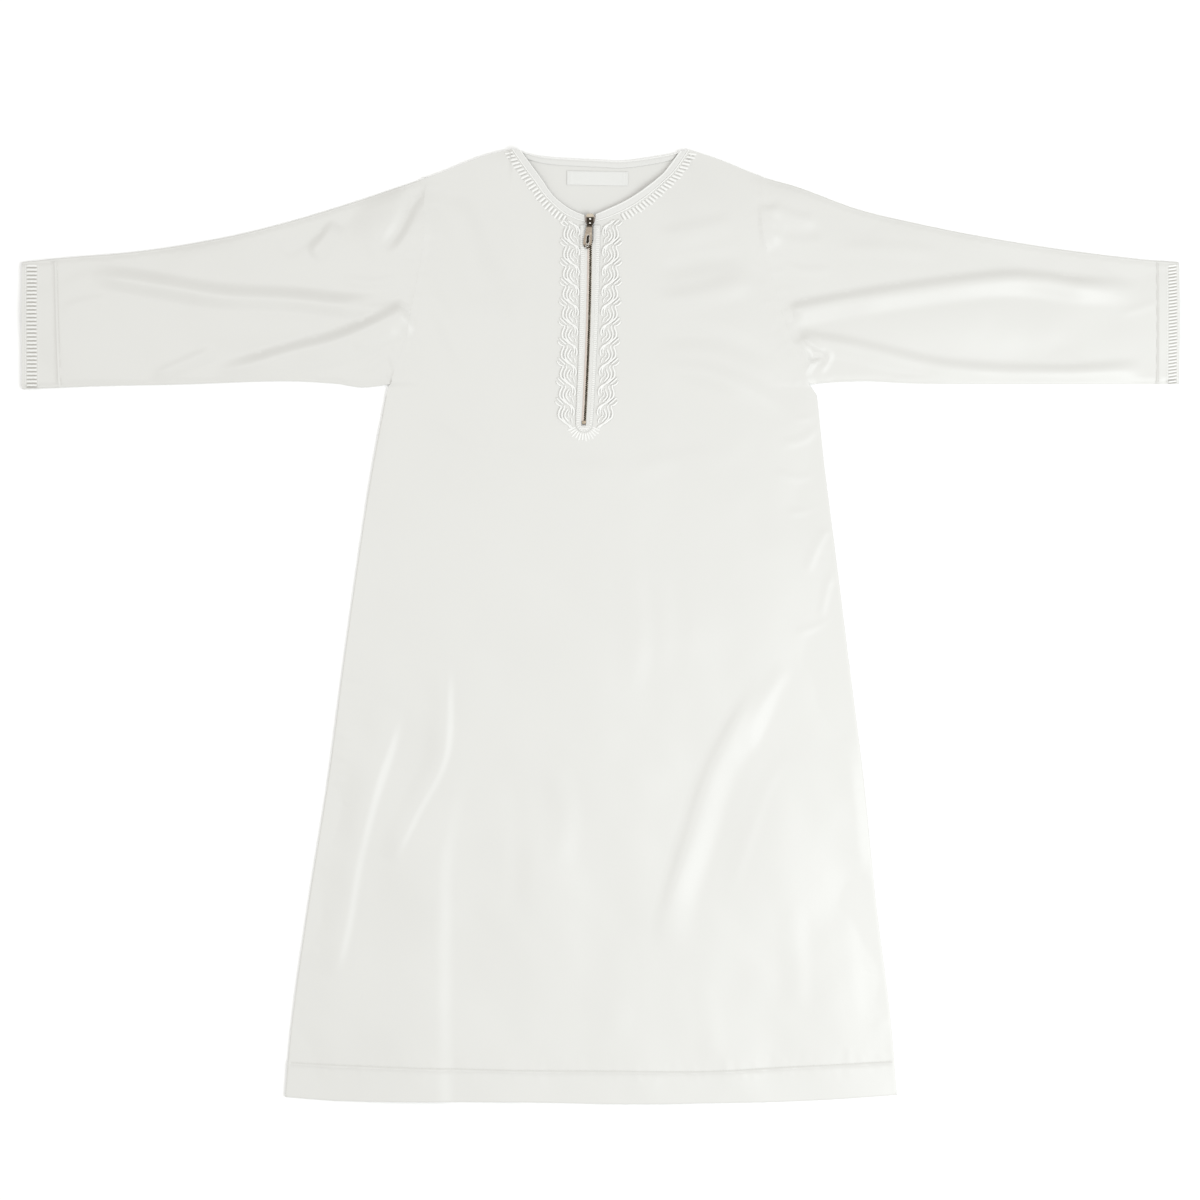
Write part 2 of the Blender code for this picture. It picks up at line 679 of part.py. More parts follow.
def sunburst_bars():
    """Raised bars that fan out below the zip."""
    centre = place(zip_x(PLACKET_ARC_CENTRE), PLACKET_ARC_CENTRE)
    starts = []
    ends = []
    for turn in spread(*SUNBURST_TURN, SUNBURST_BARS * 2 + 1):
        ray = Vector((math.cos(turn), math.sin(turn)))
        starts.append(centre + ray * SUNBURST_REACH[0])
        ends.append(centre + ray * SUNBURST_REACH[1])
    return bar_row(starts, ends)


def cuff_bars(cuff):
    """Raised bars along a cuff's edge."""
    column = 1 if cuff.side < 0 else 2
    out = SPAN / 2
    first = value_at(TOP_EDGE, out, column) + cuff.pitch
    last = value_at(UNDER_EDGE, out, column) - cuff.pitch
    count = round((last - first) / cuff.pitch) * 2 + 1
    starts = [place(cuff.side * (out - cuff.bars_out), down) for down in spread(first, last, count)]
    ends = [place(cuff.side * (out - cuff.bars_in), down + cuff.slant) for down in spread(first, last, count)]
    return bar_row(starts, ends)


def well_inside(outline, points):
    """The points that lie inside an outline and keep off its edge, with no extra rise."""
    return [(p, 0.0) for p in points if inside(outline, p) and edge_distance(outline, p) > HEM_STEP]


def hem_points(outline):
    """Points on both sides of the step up to the body's hem."""
    points = []
    for x in hem_xs():
        stitched = value_at(HEM, x, 2)
        points += [place(x, stitched), place(x, stitched + HEM_STEP)]
    return well_inside(outline, points)


def cuff_hem_points(cuff, outline):
    """Points on both sides of the step up to a cuff's hem."""
    points = []
    for down in spread(TOP_EDGE[-1].left, UNDER_EDGE[-1].left, 6):
        edge = SPAN / 2 - cuff_hem_edge(cuff, place(0.0, down))
        points += [place(cuff.side * edge, down), place(cuff.side * (edge + HEM_STEP), down)]
    return well_inside(outline, points)


def make_back():
    """The back, flat on the floor."""
    edge, _ = neck_side(NECK_BACK, 1)
    peak = TOP_EDGE[0]
    outline = body_outline([place(peak.out, peak.right), *edge[::-1], place(-peak.out, peak.left)])
    plate("back_panel", outline, 0.0, BACK_TOP, WHITE)


def make_front():
    """The front with its zip slit, folds, hem and stitched bars."""
    outline = front_outline()
    bars = neck_bars(NECK_LEFT, -1) + neck_bars(NECK_RIGHT, 1) + sunburst_bars()
    raised, lines = place_bars(outline, bars)
    fixed = raised + hem_points(outline)
    inner = form_points(outline)
    outer = fixed + [(point, 0.0) for point in form_points(outline, fixed)]
    wall("front_panel", outline, upper_under, front_top, WHITE, inner, outer, lines)


def make_sleeve(name, cuff):
    """A sleeve as a tube pressed flat: a lower layer on the floor and an upper one with the folds."""
    side = cuff.side
    column = 1 if side < 0 else 2
    seam = body_edge(side, ARMHOLE_DOWNS, ARMHOLE, -GAP / 2)
    out = SPAN / 2
    under_outs = spread(UNDER_EDGE[0].out, out, 12)[1:]
    top_outs = spread(abs(seam[0].x), out, 14)[1:]
    bottom = [seam[-1]] + [place(side * o, value_at(UNDER_EDGE, o, column)) for o in under_outs]
    top = [seam[0]] + [place(side * o, value_at(TOP_EDGE, o, column)) for o in top_outs]
    cuff_end = [bottom[-1].lerp(top[-1], t) for t in spread(0.0, 1.0, 6)]
    outline = seam[:-1] + bottom[:-1] + cuff_end[:-1] + top[::-1][:-1]
    corners = [0, len(seam) - 1, len(seam) + len(bottom) - 2, len(seam) + len(bottom) + len(cuff_end) - 3]
    inset = [point.copy() for point in outline]
    for i in range(corners[1] + 1, corners[2]):
        inset[i].y += CLOTH
    for i in range(corners[3] + 1, len(outline)):
        inset[i].y -= CLOTH
    for corner, step in zip(corners, (1, -1, 1, -1)):
        along = (outline[corner + step] - outline[corner]).normalized()
        inset[corner] = outline[corner] + along * CLOTH

    def top_side(point):
        return sleeve_top(cuff, point)

    bm = bmesh.new()
    raised, lines = place_bars(outline, cuff_bars(cuff))
    fixed = raised + cuff_hem_points(cuff, outline)
    outer_points = fixed + [(point, 0.0) for point in form_points(outline, fixed)]
    inner_points = [(point, 0.0) for point in form_points(inset)]
    outer_up = sheet(bm, outline, outer_points, top_side, lines)
    outer_down = sheet(bm, outline, [], lambda point: 0.0)
    inner_up = sheet(bm, inset, inner_points, upper_under)
    inner_down = sheet(bm, inset, [], lambda point: CLOTH)
    for first, last in ((corners[1], corners[2]), (corners[3], len(outline))):
        join_rims(bm, outer_down, outer_up, first, last)
        join_rims(bm, inner_down, inner_up, first, last)
    for first, last in ((corners[0], corners[1]), (corners[2], corners[3])):
        join_rims(bm, inner_up, outer_up, first, last)
        join_rims(bm, outer_down, inner_down, first, last)
    for corner in corners:
        bm.faces.new((outer_down[corner], outer_up[corner], inner_up[corner], inner_down[corner]))
    finish(name, bm, WHITE)


def make_band(name, rows, under, thick, side_height):
    """A bound edge: a folded strip with a rounded top, swept along the neck."""
    outer, inner = neck_side(rows, 2)
    profile = [(0.0, 0.0), (0.0, side_height), (BAND_ROUND, thick)]
    profile += [(1 - across, height) for across, height in profile[::-1]]
    bm = bmesh.new()
    rings = []
    for a, b in zip(outer, inner):
        ring = []
        for across, height in profile:
            spot = a.lerp(b, across)
            ring.append(bm.verts.new((spot.x, spot.y, under(a.lerp(b, 0.5)) + height)))
        rings.append(ring)
    for one, other in zip(rings, rings[1:]):
        join_rims(bm, one, other, 0, len(one))
    bm.faces.new(rings[0])
    bm.faces.new(rings[-1])
    finish(name, bm, WHITE)


def make_label():
    """A plain woven label on the inside of the back."""
    left, right, top, bottom = LABEL
    corners = [place(left, bottom), place(right, bottom), place(right, top), place(left, top)]
    middle = place((left + right) / 2, (top + bottom) / 2)
    turned = [middle + Matrix.Rotation(LABEL_TURN, 2) @ (corner - middle) for corner in corners]
    plate("label", turned, BACK_TOP + GAP, BACK_TOP + GAP + TRIM, THREAD, smooth=False)


def zip_strip(half, start, end, count):
    """Outline of a strip that follows the zip."""
    downs = spread(start, end, count)
    left = [place(zip_x(down) - half, down) for down in downs]
    right = [place(zip_x(down) + half, down) for down in downs[::-1]]
    return left + right


def make_placket():
    """The facing strip stitched round the slit, closed and rounded at its lower end."""
    downs = spread(PLACKET_START, PLACKET_ARC_CENTRE, 7)
    inner_downs = spread(PLACKET_START, PLACKET_INNER_END, 7)
    outline = [place(zip_x(down) - PLACKET_OUTER, down) for down in downs[:-1]]
    for turn in spread(math.pi, math.tau, PLACKET_ARC_STEPS + 1):
        centre = place(zip_x(PLACKET_ARC_CENTRE), PLACKET_ARC_CENTRE)
        outline.append(centre + Vector((math.cos(turn), math.sin(turn))) * PLACKET_OUTER)
    outline += [place(zip_x(down) + PLACKET_OUTER, down) for down in downs[::-1][1:]]
    outline += [place(zip_x(down) + PLACKET_INNER, down) for down in inner_downs]
    outline += [place(zip_x(down) - PLACKET_INNER, down) for down in inner_downs[::-1]]
    plate("placket", outline, TRIM_UNDER, TRIM_TOP, WHITE)


def make_embroidery(name, side, offset):
    """A band of raised cord scrolls on a thin ground beside the zip."""
    pitch = (EMBROIDERY_END - EMBROIDERY_START) / MOTIFS

    def at(across, down):
        middle = zip_x(down) + side * offset
        return place(middle - side * across * EMBROIDERY_HALF, down)

    outline = [at(GROUND_OUTER[0], EMBROIDERY_OUTER_TOP)]
    downs = spread(EMBROIDERY_START, EMBROIDERY_END, MOTIFS * 2 + 1)
    outline += [at(GROUND_OUTER[i % 2], down) for i, down in enumerate(downs)]
    outline += [at(edge, EMBROIDERY_END + EMBROIDERY_TAIL) for edge in (GROUND_OUTER[0], GROUND_INNER[0])]
    outline += [at(GROUND_INNER[i % 2], down) for i, down in enumerate(downs)][::-1]

    raised = []
    lines = []
    for motif in range(MOTIFS):
        for strand in STRANDS:
            drawn = [at(row.across, EMBROIDERY_START + (motif + row.along) * pitch) for row in strand]
            crest = smooth_line(drawn, CORD_STEP)
            ends = [crest[0] - (crest[1] - crest[0]).normalized() * CORD_HALF,
                    crest[-1] + (crest[-1] - crest[-2]).normalized() * CORD_HALF]
            loop = [ends[0]]
            sides = []
            for i, spot in enumerate(crest):
                run = crest[min(i + 1, len(crest) - 1)] - crest[max(i - 1, 0)]
                aside = Vector((-run.y, run.x)).normalized() * CORD_HALF
                sides.append((spot + aside, spot - aside))
            loop += [side_points[0] for side_points in sides] + [ends[1]]
            loop += [side_points[1] for side_points in sides[::-1]]
            if not all(inside(outline, spot) and edge_distance(outline, spot) > CORD_ROOM for spot in loop):
                continue
            first = len(raised)
            raised += [(spot, 0.0) for spot in loop]
            lines.append([*range(first, len(raised)), first])
            first = len(raised)
            raised += [(spot, CORD_RISE) for spot in crest]
            lines.append(list(range(first, len(raised))))
    wall(name, outline, lambda point: TRIM_UNDER, lambda point: TRIM_TOP, THREAD, (), raised, lines)


def make_zip():
    """Tape, chain and bottom stop."""
    tape = zip_strip(TAPE_HALF, TAPE_START, TAPE_BOTTOM, 8)
    plate("zip_tape", tape, TAPE_UNDER, TAPE_UNDER + TRIM, TAPE_COLOUR)
    stop_start = ZIP_END - STOP_LENGTH
    chain = zip_strip(CHAIN_HALF, CHAIN_START, stop_start - GAP, 9)
    plate("zip_chain", chain, ZIP_FRONT_UNDER, ZIP_FRONT_UNDER + CHAIN_THICK, BRASS,
          metallic=0.9, roughness=0.4)
    stop = zip_strip(STOP_HALF, stop_start, ZIP_END, 2)
    plate("zip_bottom_stop", stop, ZIP_FRONT_UNDER, ZIP_FRONT_UNDER + CHAIN_THICK, BRASS,
          metallic=0.9, roughness=0.4, smooth=False)


def fill(bm, outer, holes=()):
    """Flat faces between an outer rim and the rims of its holes."""
    loops = [outer, *holes]
    verts = [vert for loop in loops for vert in loop]
    outlines = [[Vector(vert.co.xy) for vert in loop] for loop in loops]
    plan = [point for loop in outlines for point in loop]
    rings = []
    start = 0
    for loop in loops:
        rings += [(start + i, start + (i + 1) % len(loop)) for i in range(len(loop))]
        start += len(loop)
    _, _, faces, _, _, _ = delaunay_2d_cdt(plan, rings, [], 1, 1e-7)
    for face in faces:
        middle = sum((plan[i] for i in face), Vector((0.0, 0.0))) / len(face)
        if inside(outlines[0], middle) and not any(inside(hole, middle) for hole in outlines[1:]):
            bm.faces.new([verts[i] for i in face])


def rim_at(bm, outline, height):
    """A rim of points over a plan outline."""
    return [bm.verts.new((point.x, point.y, height)) for point in outline]


def slider_plate(neck_end, tail_end, half, tail_half):
    """Outline of a slider plate: broad by the neck and narrower at the tail."""
    corner = SLIDER_CORNER
    shape = [
        (-half + corner, neck_end), (-half, neck_end + corner), (-half, neck_end + SLIDER_SHOULDER),
        (-tail_half, tail_end - corner), (-tail_half + corner, tail_end),
    ]
    left = [place(ZIP_X + x, down) for x, down in shape]
    right = [place(ZIP_X - x, down) for x, down in shape[::-1]]
    return left + right


def make_slider():
    """Slider: two plates joined by a wedge, with a strap over the upper one that holds the pull."""
    bm = bmesh.new()
    upper = slider_plate(SLIDER_NECK_END, SLIDER_TAIL_END, SLIDER_HALF, SLIDER_TAIL_HALF)
    lower = slider_plate(SLIDER_NECK_END + LOWER_PLATE_INSET, SLIDER_TAIL_END - LOWER_PLATE_SHORTER,
                         SLIDER_HALF - LOWER_PLATE_INSET, SLIDER_TAIL_HALF - LOWER_PLATE_INSET)
    top, bottom, half = WEDGE
    middle = (top + bottom) / 2
    corners = [(0.0, bottom), (half, middle), (0.0, top), (-half, middle)]
    wedge = [place(ZIP_X + x, down) for x, down in corners]
    lower_rims = [rim_at(bm, lower, z) for z in LOWER_PLATE]
    wedge_rims = [rim_at(bm, wedge, z) for z in (LOWER_PLATE[1], UPPER_PLATE[0])]
    upper_rims = [rim_at(bm, upper, z) for z in UPPER_PLATE]
    for rims in (lower_rims, wedge_rims, upper_rims):
        join_rims(bm, rims[0], rims[1], 0, len(rims[0]))
    fill(bm, lower_rims[0])
    fill(bm, lower_rims[1], [wedge_rims[0]])
    fill(bm, upper_rims[0], [wedge_rims[1]])

    foot = UPPER_PLATE[1]
    under = foot + 2 * AXIS_ABOVE_PLATE
    over = under + STRAP_THICK
    reach = STRAP_REACH
    leg = reach - STRAP_THICK
    profile = [
        (-reach, foot), (-leg, foot), (-leg, under), (leg, under), (leg, foot), (reach, foot),
        (reach, over - STRAP_CORNER), (reach - STRAP_CORNER, over), (-reach + STRAP_CORNER, over),
        (-reach, over - STRAP_CORNER),
    ]
    axis = place(ZIP_X, AXIS_DOWN)
    sides = []
    for x in (axis.x - STRAP_HALF_WIDTH, axis.x + STRAP_HALF_WIDTH):
        sides.append([bm.verts.new((x, axis.y + y, z)) for y, z in profile])
        bm.faces.new(sides[-1])
    one, other = sides
    feet = [[one[i], one[i + 1], other[i + 1], other[i]] for i in (0, 4)]
    join_rims(bm, one, other, 1, 4)
    join_rims(bm, one, other, 5, len(profile))
    fill(bm, upper_rims[1], feet)
    finish("zip_slider", bm, BRASS, metallic=0.9, roughness=0.38, smooth=False)


def mirrored(rows):
    """A closed outline from half widths along a centre line that runs towards -Y."""
    return [Vector((half, -far)) for far, half in rows] + [Vector((-half, -far)) for far, half in rows[::-1]]


def make_pull():
    """Pull tab, with its origin on the line about which it swings in the strap."""
    bm = bmesh.new()
    loops = [mirrored(PULL_EDGE), mirrored(PULL_EYE), mirrored(PULL_SLOT)]
    layers = [[rim_at(bm, loop, z) for loop in loops] for z in (-PULL_THICK / 2, PULL_THICK / 2)]
    for rims in layers:
        fill(bm, rims[0], rims[1:])
    for lower, upper in zip(*layers):
        join_rims(bm, lower, upper, 0, len(lower))
    pull = finish("zip_pull", bm, BRASS, metallic=0.9, roughness=0.36, smooth=False)
    axis_height = UPPER_PLATE[1] + AXIS_ABOVE_PLATE
    slope = math.asin((axis_height - PULL_TIP_UNDER - PULL_THICK / 2) / PULL_LENGTH)
    axis = place(ZIP_X, AXIS_DOWN)
    pull.location = (axis.x, axis.y, axis_height)
    pull.rotation_euler = (slope, 0.0, -PULL_LEAN)


def clear_scene():
    for item in list(bpy.data.objects):
        bpy.data.objects.remove(item)


clear_scene()
make_back()
make_front()
for cuff_row, sleeve_name in zip(CUFFS, ("sleeve_left", "sleeve_right")):
    make_sleeve(sleeve_name, cuff_row)
make_band("neck_band_left", NECK_LEFT, upper_under, NECK_BAND_THICK, NECK_BAND_SIDE)
make_band("neck_band_right", NECK_RIGHT, upper_under, NECK_BAND_THICK, NECK_BAND_SIDE)
make_band("neck_band_back", NECK_BACK, lambda point: BACK_TOP + GAP, TRIM, BACK_BAND_SIDE)
make_label()
make_placket()
for band_name, (band_side, band_offset) in EMBROIDERY.items():
    make_embroidery(band_name, band_side, band_offset)
make_zip()
make_slider()
make_pull()
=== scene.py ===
import math
from collections import namedtuple

import bpy
import numpy as np
from mathutils import Euler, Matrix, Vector
from mathutils.geometry import delaunay_2d_cdt


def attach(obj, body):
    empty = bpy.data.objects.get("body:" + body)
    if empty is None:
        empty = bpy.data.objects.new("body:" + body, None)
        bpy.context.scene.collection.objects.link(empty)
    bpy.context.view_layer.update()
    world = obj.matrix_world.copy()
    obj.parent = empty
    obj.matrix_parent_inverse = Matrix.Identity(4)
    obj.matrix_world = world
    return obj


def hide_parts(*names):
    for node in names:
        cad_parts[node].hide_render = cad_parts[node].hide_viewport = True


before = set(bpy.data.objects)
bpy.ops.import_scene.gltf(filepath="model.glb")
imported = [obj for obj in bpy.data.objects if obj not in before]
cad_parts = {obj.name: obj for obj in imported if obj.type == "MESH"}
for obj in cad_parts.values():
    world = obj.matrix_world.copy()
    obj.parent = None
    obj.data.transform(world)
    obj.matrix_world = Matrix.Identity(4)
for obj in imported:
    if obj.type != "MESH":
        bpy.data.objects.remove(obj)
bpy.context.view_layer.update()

# Metres throughout, but millimetres in the tables of folds and swells. x runs to the right, and
# down runs from the high shoulder to the hem.
robe = {
    "length": 0.880,
    "span": 1.0662,
    "cloth": 0.0012,
    "gap": 0.0003,
    "zipLift": 0.0013,
    "fine": 0.0028,      # spacing of the points on the upper cloth
    "coarse": 0.0085,    # spacing where the cloth lies flat or hidden
    "edge": 0.0030,      # spacing of the points along an outline
    "edgeFade": 0.016,   # folds flatten out over this distance to a seam
    "foldScale": 0.70,   # height of every fold against the table
    "loft": 0.0014,      # how far the upper cloth stands off the lower one
    "loftOver": 0.05,    # and over what distance from a seam it gets there
}
backTop = robe["cloth"]
frontUnder = backTop + robe["gap"]
zipFrontTop = frontUnder + robe["zipLift"] + robe["cloth"]
trimUnder = zipFrontTop + robe["gap"]

Edge = namedtuple("Edge", "out left right")
Side = namedtuple("Side", "down left right")
Hem = namedtuple("Hem", "x edge stitching")
Neck = namedtuple("Neck", "outerX outerDown innerX innerDown")
Swell = namedtuple("Swell", "x down halfWidth halfLength rise")
Fold = namedtuple("Fold", "rise left right sharp path start end", defaults=(None, 0.27, 0.27))

topEdge = [Edge(*row) for row in (
    (0.0825, 0.0000, 0.0009), (0.1110, 0.0074, 0.0104), (0.1480, 0.0221, 0.0253), (0.1830, 0.0341, 0.0355),
    (0.2382, 0.0525, 0.0558), (0.2940, 0.0690, 0.0691), (0.3490, 0.0820, 0.0802), (0.4225, 0.0940, 0.0922),
    (0.4970, 0.1004, 0.1015), (0.5331, 0.1041, 0.1041),
)]
underEdge = [Edge(*row) for row in (
    (0.1930, 0.2166, 0.2166), (0.2200, 0.2196, 0.2147), (0.2450, 0.2160, 0.2140), (0.2940, 0.2138, 0.2162),
    (0.3856, 0.2166, 0.2166), (0.4600, 0.2182, 0.2166), (0.5331, 0.2212, 0.2166),
)]
armhole = [Side(*row) for row in (
    (0.0260, 0.1617, 0.1488), (0.0600, 0.1630, 0.1496), (0.0949, 0.1645, 0.1535), (0.1493, 0.1746, 0.1665),
    (0.1769, 0.1802, 0.1772), (0.2166, 0.1940, 0.1921),
)]
sideSeam = [Side(*row) for row in (
    (0.2267, 0.1977, 0.1995), (0.2958, 0.2106, 0.2069), (0.3603, 0.2207, 0.2152), (0.4709, 0.2364, 0.2290),
    (0.5815, 0.2511, 0.2428), (0.6920, 0.2686, 0.2539), (0.8026, 0.2843, 0.2677), (0.8720, 0.2907, 0.2732),
)]
hem = [Hem(*row) for row in (
    (-0.2907, 0.8736, 0.8413), (-0.2400, 0.8772, 0.8440), (-0.0740, 0.8782, 0.8487),
    (0.0180, 0.8800, 0.8492), (0.0917, 0.8791, 0.8496), (0.1838, 0.8772, 0.8450), (0.2732, 0.8717, 0.8404),
)]
neckLeft = [Neck(*row) for row in (
    (-0.0820, 0.0003, -0.0733, 0.0015), (-0.0703, 0.0172, -0.0640, 0.0143),
    (-0.0606, 0.0302, -0.0548, 0.0267), (-0.0500, 0.0446, -0.0438, 0.0424),
    (-0.0356, 0.0582, -0.0318, 0.0525), (-0.0245, 0.0640, -0.0230, 0.0576),
    (-0.0143, 0.0673, -0.0150, 0.0608),
)]
neckRight = [Neck(*row) for row in (
    (0.0820, 0.0010, 0.0728, 0.0023), (0.0710, 0.0175, 0.0640, 0.0140), (0.0623, 0.0270, 0.0558, 0.0240),
    (0.0433, 0.0438, 0.0382, 0.0378), (0.0256, 0.0552, 0.0217, 0.0479), (0.0088, 0.0630, 0.0060, 0.0553),
    (-0.0052, 0.0673, -0.0041, 0.0599),
)]
neckBack = [Neck(*row) for row in (
    (-0.0718, 0.0028, -0.0668, 0.0096), (-0.0558, 0.0064, -0.0540, 0.0128),
    (-0.0373, 0.0083, -0.0366, 0.0148), (-0.0005, 0.0101, -0.0005, 0.0166),
    (0.0180, 0.0110, 0.0180, 0.0175), (0.0364, 0.0092, 0.0360, 0.0157), (0.0548, 0.0064, 0.0535, 0.0128),
    (0.0712, 0.0034, 0.0662, 0.0098),
)]

# Main folds, in millimetres: rise, width of each flank, how sharp the crest is, the
# line, and the share of that line over which the fold rises at its start and sinks at its end
mainFolds = [
    Fold(3.6, 10.5, 32, 0.15, [(-186, 515), (-197, 552), (-211, 594), (-226, 655), (-237, 718),
                               (-248, 765)], 0.15, 0.15),
    Fold(3.3, 9.5, 22, 0.2, [(-143, 470), (-143, 535), (-150, 570), (-172, 611), (-194, 658)], 0.2, 0.15),
    Fold(3, 17, 60, 0.25, [(-130, 560), (-140, 604), (-149, 645), (-151, 690), (-151, 800),
                           (-149, 990)], 0.2, 0.05),
    Fold(5.2, 27, 14, 0.1, [(156, 486), (128, 526), (102, 577), (84, 632), (64, 698),
                            (56, 740)], 0.2, 0.27),
    Fold(1.4, 11, 13, 0.15, [(172, 474), (152, 508), (134, 556)]),
    Fold(1.2, 16, 20, 0.15, [(176, 690), (180, 740), (182, 800)]),
    # left sleeve
    Fold(8.8, 24, 13, 0.2, [(-177, 148), (-199, 159), (-240, 177), (-286, 189), (-328, 201),
                            (-364, 210)], 0.06, 0.3),
    Fold(2.4, 10, 9, 0.1, [(-352, 184), (-384, 198), (-414, 211)]),
    Fold(6.6, 14, 13, 0.1, [(-470, 116), (-415, 125), (-351, 136), (-286, 139), (-240, 144),
                            (-188, 146)], 0.16, 0.2),
    Fold(-6.2, 11, 13, 0.3, [(-168, 26), (-175, 52), (-183, 70), (-192, 84), (-205, 99)], 0.15, 0.3),
    Fold(3, 14, 11, 0.2, [(-243, 68), (-252, 84), (-268, 100)]),
    # right sleeve
    Fold(7, 12, 18, 0.15, [(171, 151), (230, 140), (294, 130), (368, 121), (405, 122), (442, 127),
                           (500, 130)], 0.06, 0.2),
    Fold(5, 11, 16, 0.15, [(180, 174), (230, 182), (294, 197), (331, 203), (377, 206), (442, 206),
                           (502, 202)], 0.05, 0.12),
    Fold(3, 12, 14, 0.25, [(157, 50), (156, 72), (162, 92)]),
]
# Smaller creases: a negative rise is a trough
smallFolds = [
    # chest, right
    Fold(2.2, 14, 18, 0.2, [(48, 84), (86, 76), (124, 66)]),
    Fold(-1.8, 12, 16, 0.2, [(52, 112), (92, 104), (136, 98)]),
    Fold(2.6, 16, 16, 0.2, [(46, 142), (80, 138), (118, 128), (146, 120)]),
    Fold(-2, 14, 18, 0.2, [(44, 176), (82, 172), (122, 178), (160, 200)]),
    Fold(2.4, 16, 14, 0.2, [(50, 204), (94, 208), (140, 224), (172, 246)]),
    Fold(1.2, 16, 16, 0.1, [(20, 300), (72, 286), (130, 282)]),
    # chest, left
    Fold(1.4, 14, 18, 0.2, [(-136, 40), (-118, 80), (-104, 132)]),
    Fold(-1.2, 12, 14, 0.2, [(-92, 60), (-82, 110), (-84, 160)]),
    Fold(1.2, 14, 14, 0.2, [(-160, 120), (-138, 170), (-118, 212)]),
    Fold(1, 16, 18, 0.1, [(-180, 250), (-120, 276), (-50, 290)]),
    # middle and lower body
    Fold(1.4, 18, 20, 0.1, [(20, 372), (32, 412), (34, 462), (26, 512)]),
    Fold(-1, 16, 16, 0.1, [(66, 388), (72, 440), (64, 490)]),
    Fold(1.4, 20, 18, 0.1, [(-44, 560), (-34, 612), (-40, 664)]),
    Fold(-1.2, 16, 16, 0.1, [(-82, 580), (-76, 640), (-80, 704)]),
    Fold(0.8, 10, 12, 0.4, [(174, 556), (152, 590), (134, 640), (118, 690)]),
    Fold(0.5, 16, 16, 0.2, [(90, 760), (100, 800), (102, 840)]),
    Fold(0.5, 18, 18, 0.2, [(12, 720), (18, 770), (14, 826)]),
    Fold(0.4, 12, 14, 0.2, [(226, 700), (232, 752), (238, 812)]),
    # right side seam: short puckers that run in from the edge
    Fold(0.9, 6, 8, 0.5, [(202, 300), (182, 304), (158, 298)]),
    Fold(0.8, 5, 7, 0.5, [(208, 324), (190, 334), (170, 336)]),
    Fold(1, 6, 8, 0.6, [(212, 346), (200, 366), (190, 392)]),
    Fold(0.9, 5, 7, 0.6, [(216, 386), (208, 410), (204, 436)]),
    Fold(1, 6, 7, 0.5, [(220, 424), (202, 440), (178, 446)]),
    Fold(0.7, 6, 8, 0.4, [(228, 462), (214, 486), (208, 520)]),
    Fold(1, 7, 8, 0.4, [(204, 252), (188, 268), (164, 272)]),
    # left sleeve
    Fold(-1.4, 10, 10, 0.3, [(-272, 60), (-280, 84), (-292, 98)]),
    Fold(1.4, 8, 10, 0.3, [(-244, 62), (-256, 82), (-268, 94)]),
    Fold(1, 8, 10, 0.3, [(-498, 150), (-478, 142), (-452, 138)]),
    Fold(1, 12, 14, 0.2, [(-500, 126), (-470, 120), (-430, 122)]),
    Fold(1.2, 6, 7, 0.4, [(-190, 182), (-206, 196), (-224, 206)]),
    Fold(1.1, 5, 6, 0.4, [(-186, 166), (-204, 176), (-228, 184)]),
    Fold(1, 7, 8, 0.3, [(-184, 118), (-208, 124), (-240, 120)]),
    Fold(-1, 6, 7, 0.3, [(-180, 134), (-206, 142), (-236, 146)]),
    # right sleeve
    Fold(1, 10, 12, 0.2, [(212, 92), (262, 92), (318, 96)]),
    Fold(1.4, 8, 10, 0.3, [(156, 52), (176, 62), (200, 66)]),
    Fold(-1.4, 10, 10, 0.2, [(166, 74), (186, 78), (206, 74)]),
    Fold(1, 7, 8, 0.3, [(166, 106), (186, 112), (214, 112)]),
    Fold(0.8, 6, 7, 0.4, [(478, 152), (500, 146), (514, 140)]),
    # right armpit: the sleeve's corner is crumpled
    Fold(2.6, 4.5, 5, 0.6, [(178, 176), (188, 188), (196, 204)]),
    Fold(2.4, 4, 5, 0.6, [(184, 172), (200, 184), (214, 190)]),
    Fold(-1.8, 3.5, 4, 0.6, [(190, 196), (200, 190), (212, 186)]),
    Fold(2.2, 4, 4.5, 0.6, [(200, 206), (208, 198), (212, 188)]),
    Fold(1.8, 3.5, 4.5, 0.6, [(188, 206), (194, 198), (206, 194)]),
]
swells = [
    Swell(-115, 160, 50, 110, 2.2),
    Swell(110, 190, 55, 120, 2.6),
    Swell(20, 430, 110, 120, 3),
    Swell(-60, 640, 70, 130, 2.4),
    Swell(165, 640, 70, 110, 2.6),
    Swell(80, 800, 120, 90, 1.6),
    Swell(-300, 160, 110, 34, 2.2),
    Swell(-192, 66, 46, 48, 4),
    Swell(330, 160, 130, 36, 2.4),
]


def ease(value):
    value = np.clip(value, 0.0, 1.0)
    return value * value * (3 - 2 * value)


def reader(rows, column):  # a smooth curve through one column of a table
    rows = np.array([tuple(row) for row in rows], float)
    at, value = rows[:, 0], rows[:, column]
    before = np.maximum(np.arange(len(at)) - 1, 0)
    after = np.minimum(np.arange(len(at)) + 1, len(at) - 1)
    slope = (value[after] - value[before]) / (at[after] - at[before])
    fine = np.linspace(at[0], at[-1], 40 * len(at))
    low = np.clip(np.searchsorted(at, fine, side="right") - 1, 0, len(at) - 2)
    width = at[low + 1] - at[low]
    t = (fine - at[low]) / width
    line = value[low] + (value[low + 1] - value[low]) * t * t * (3 - 2 * t)
    line = line + width * t * (1 - t) * (slope[low] * (1 - t) - slope[low + 1] * t)
    return lambda where: np.interp(where, fine, line)


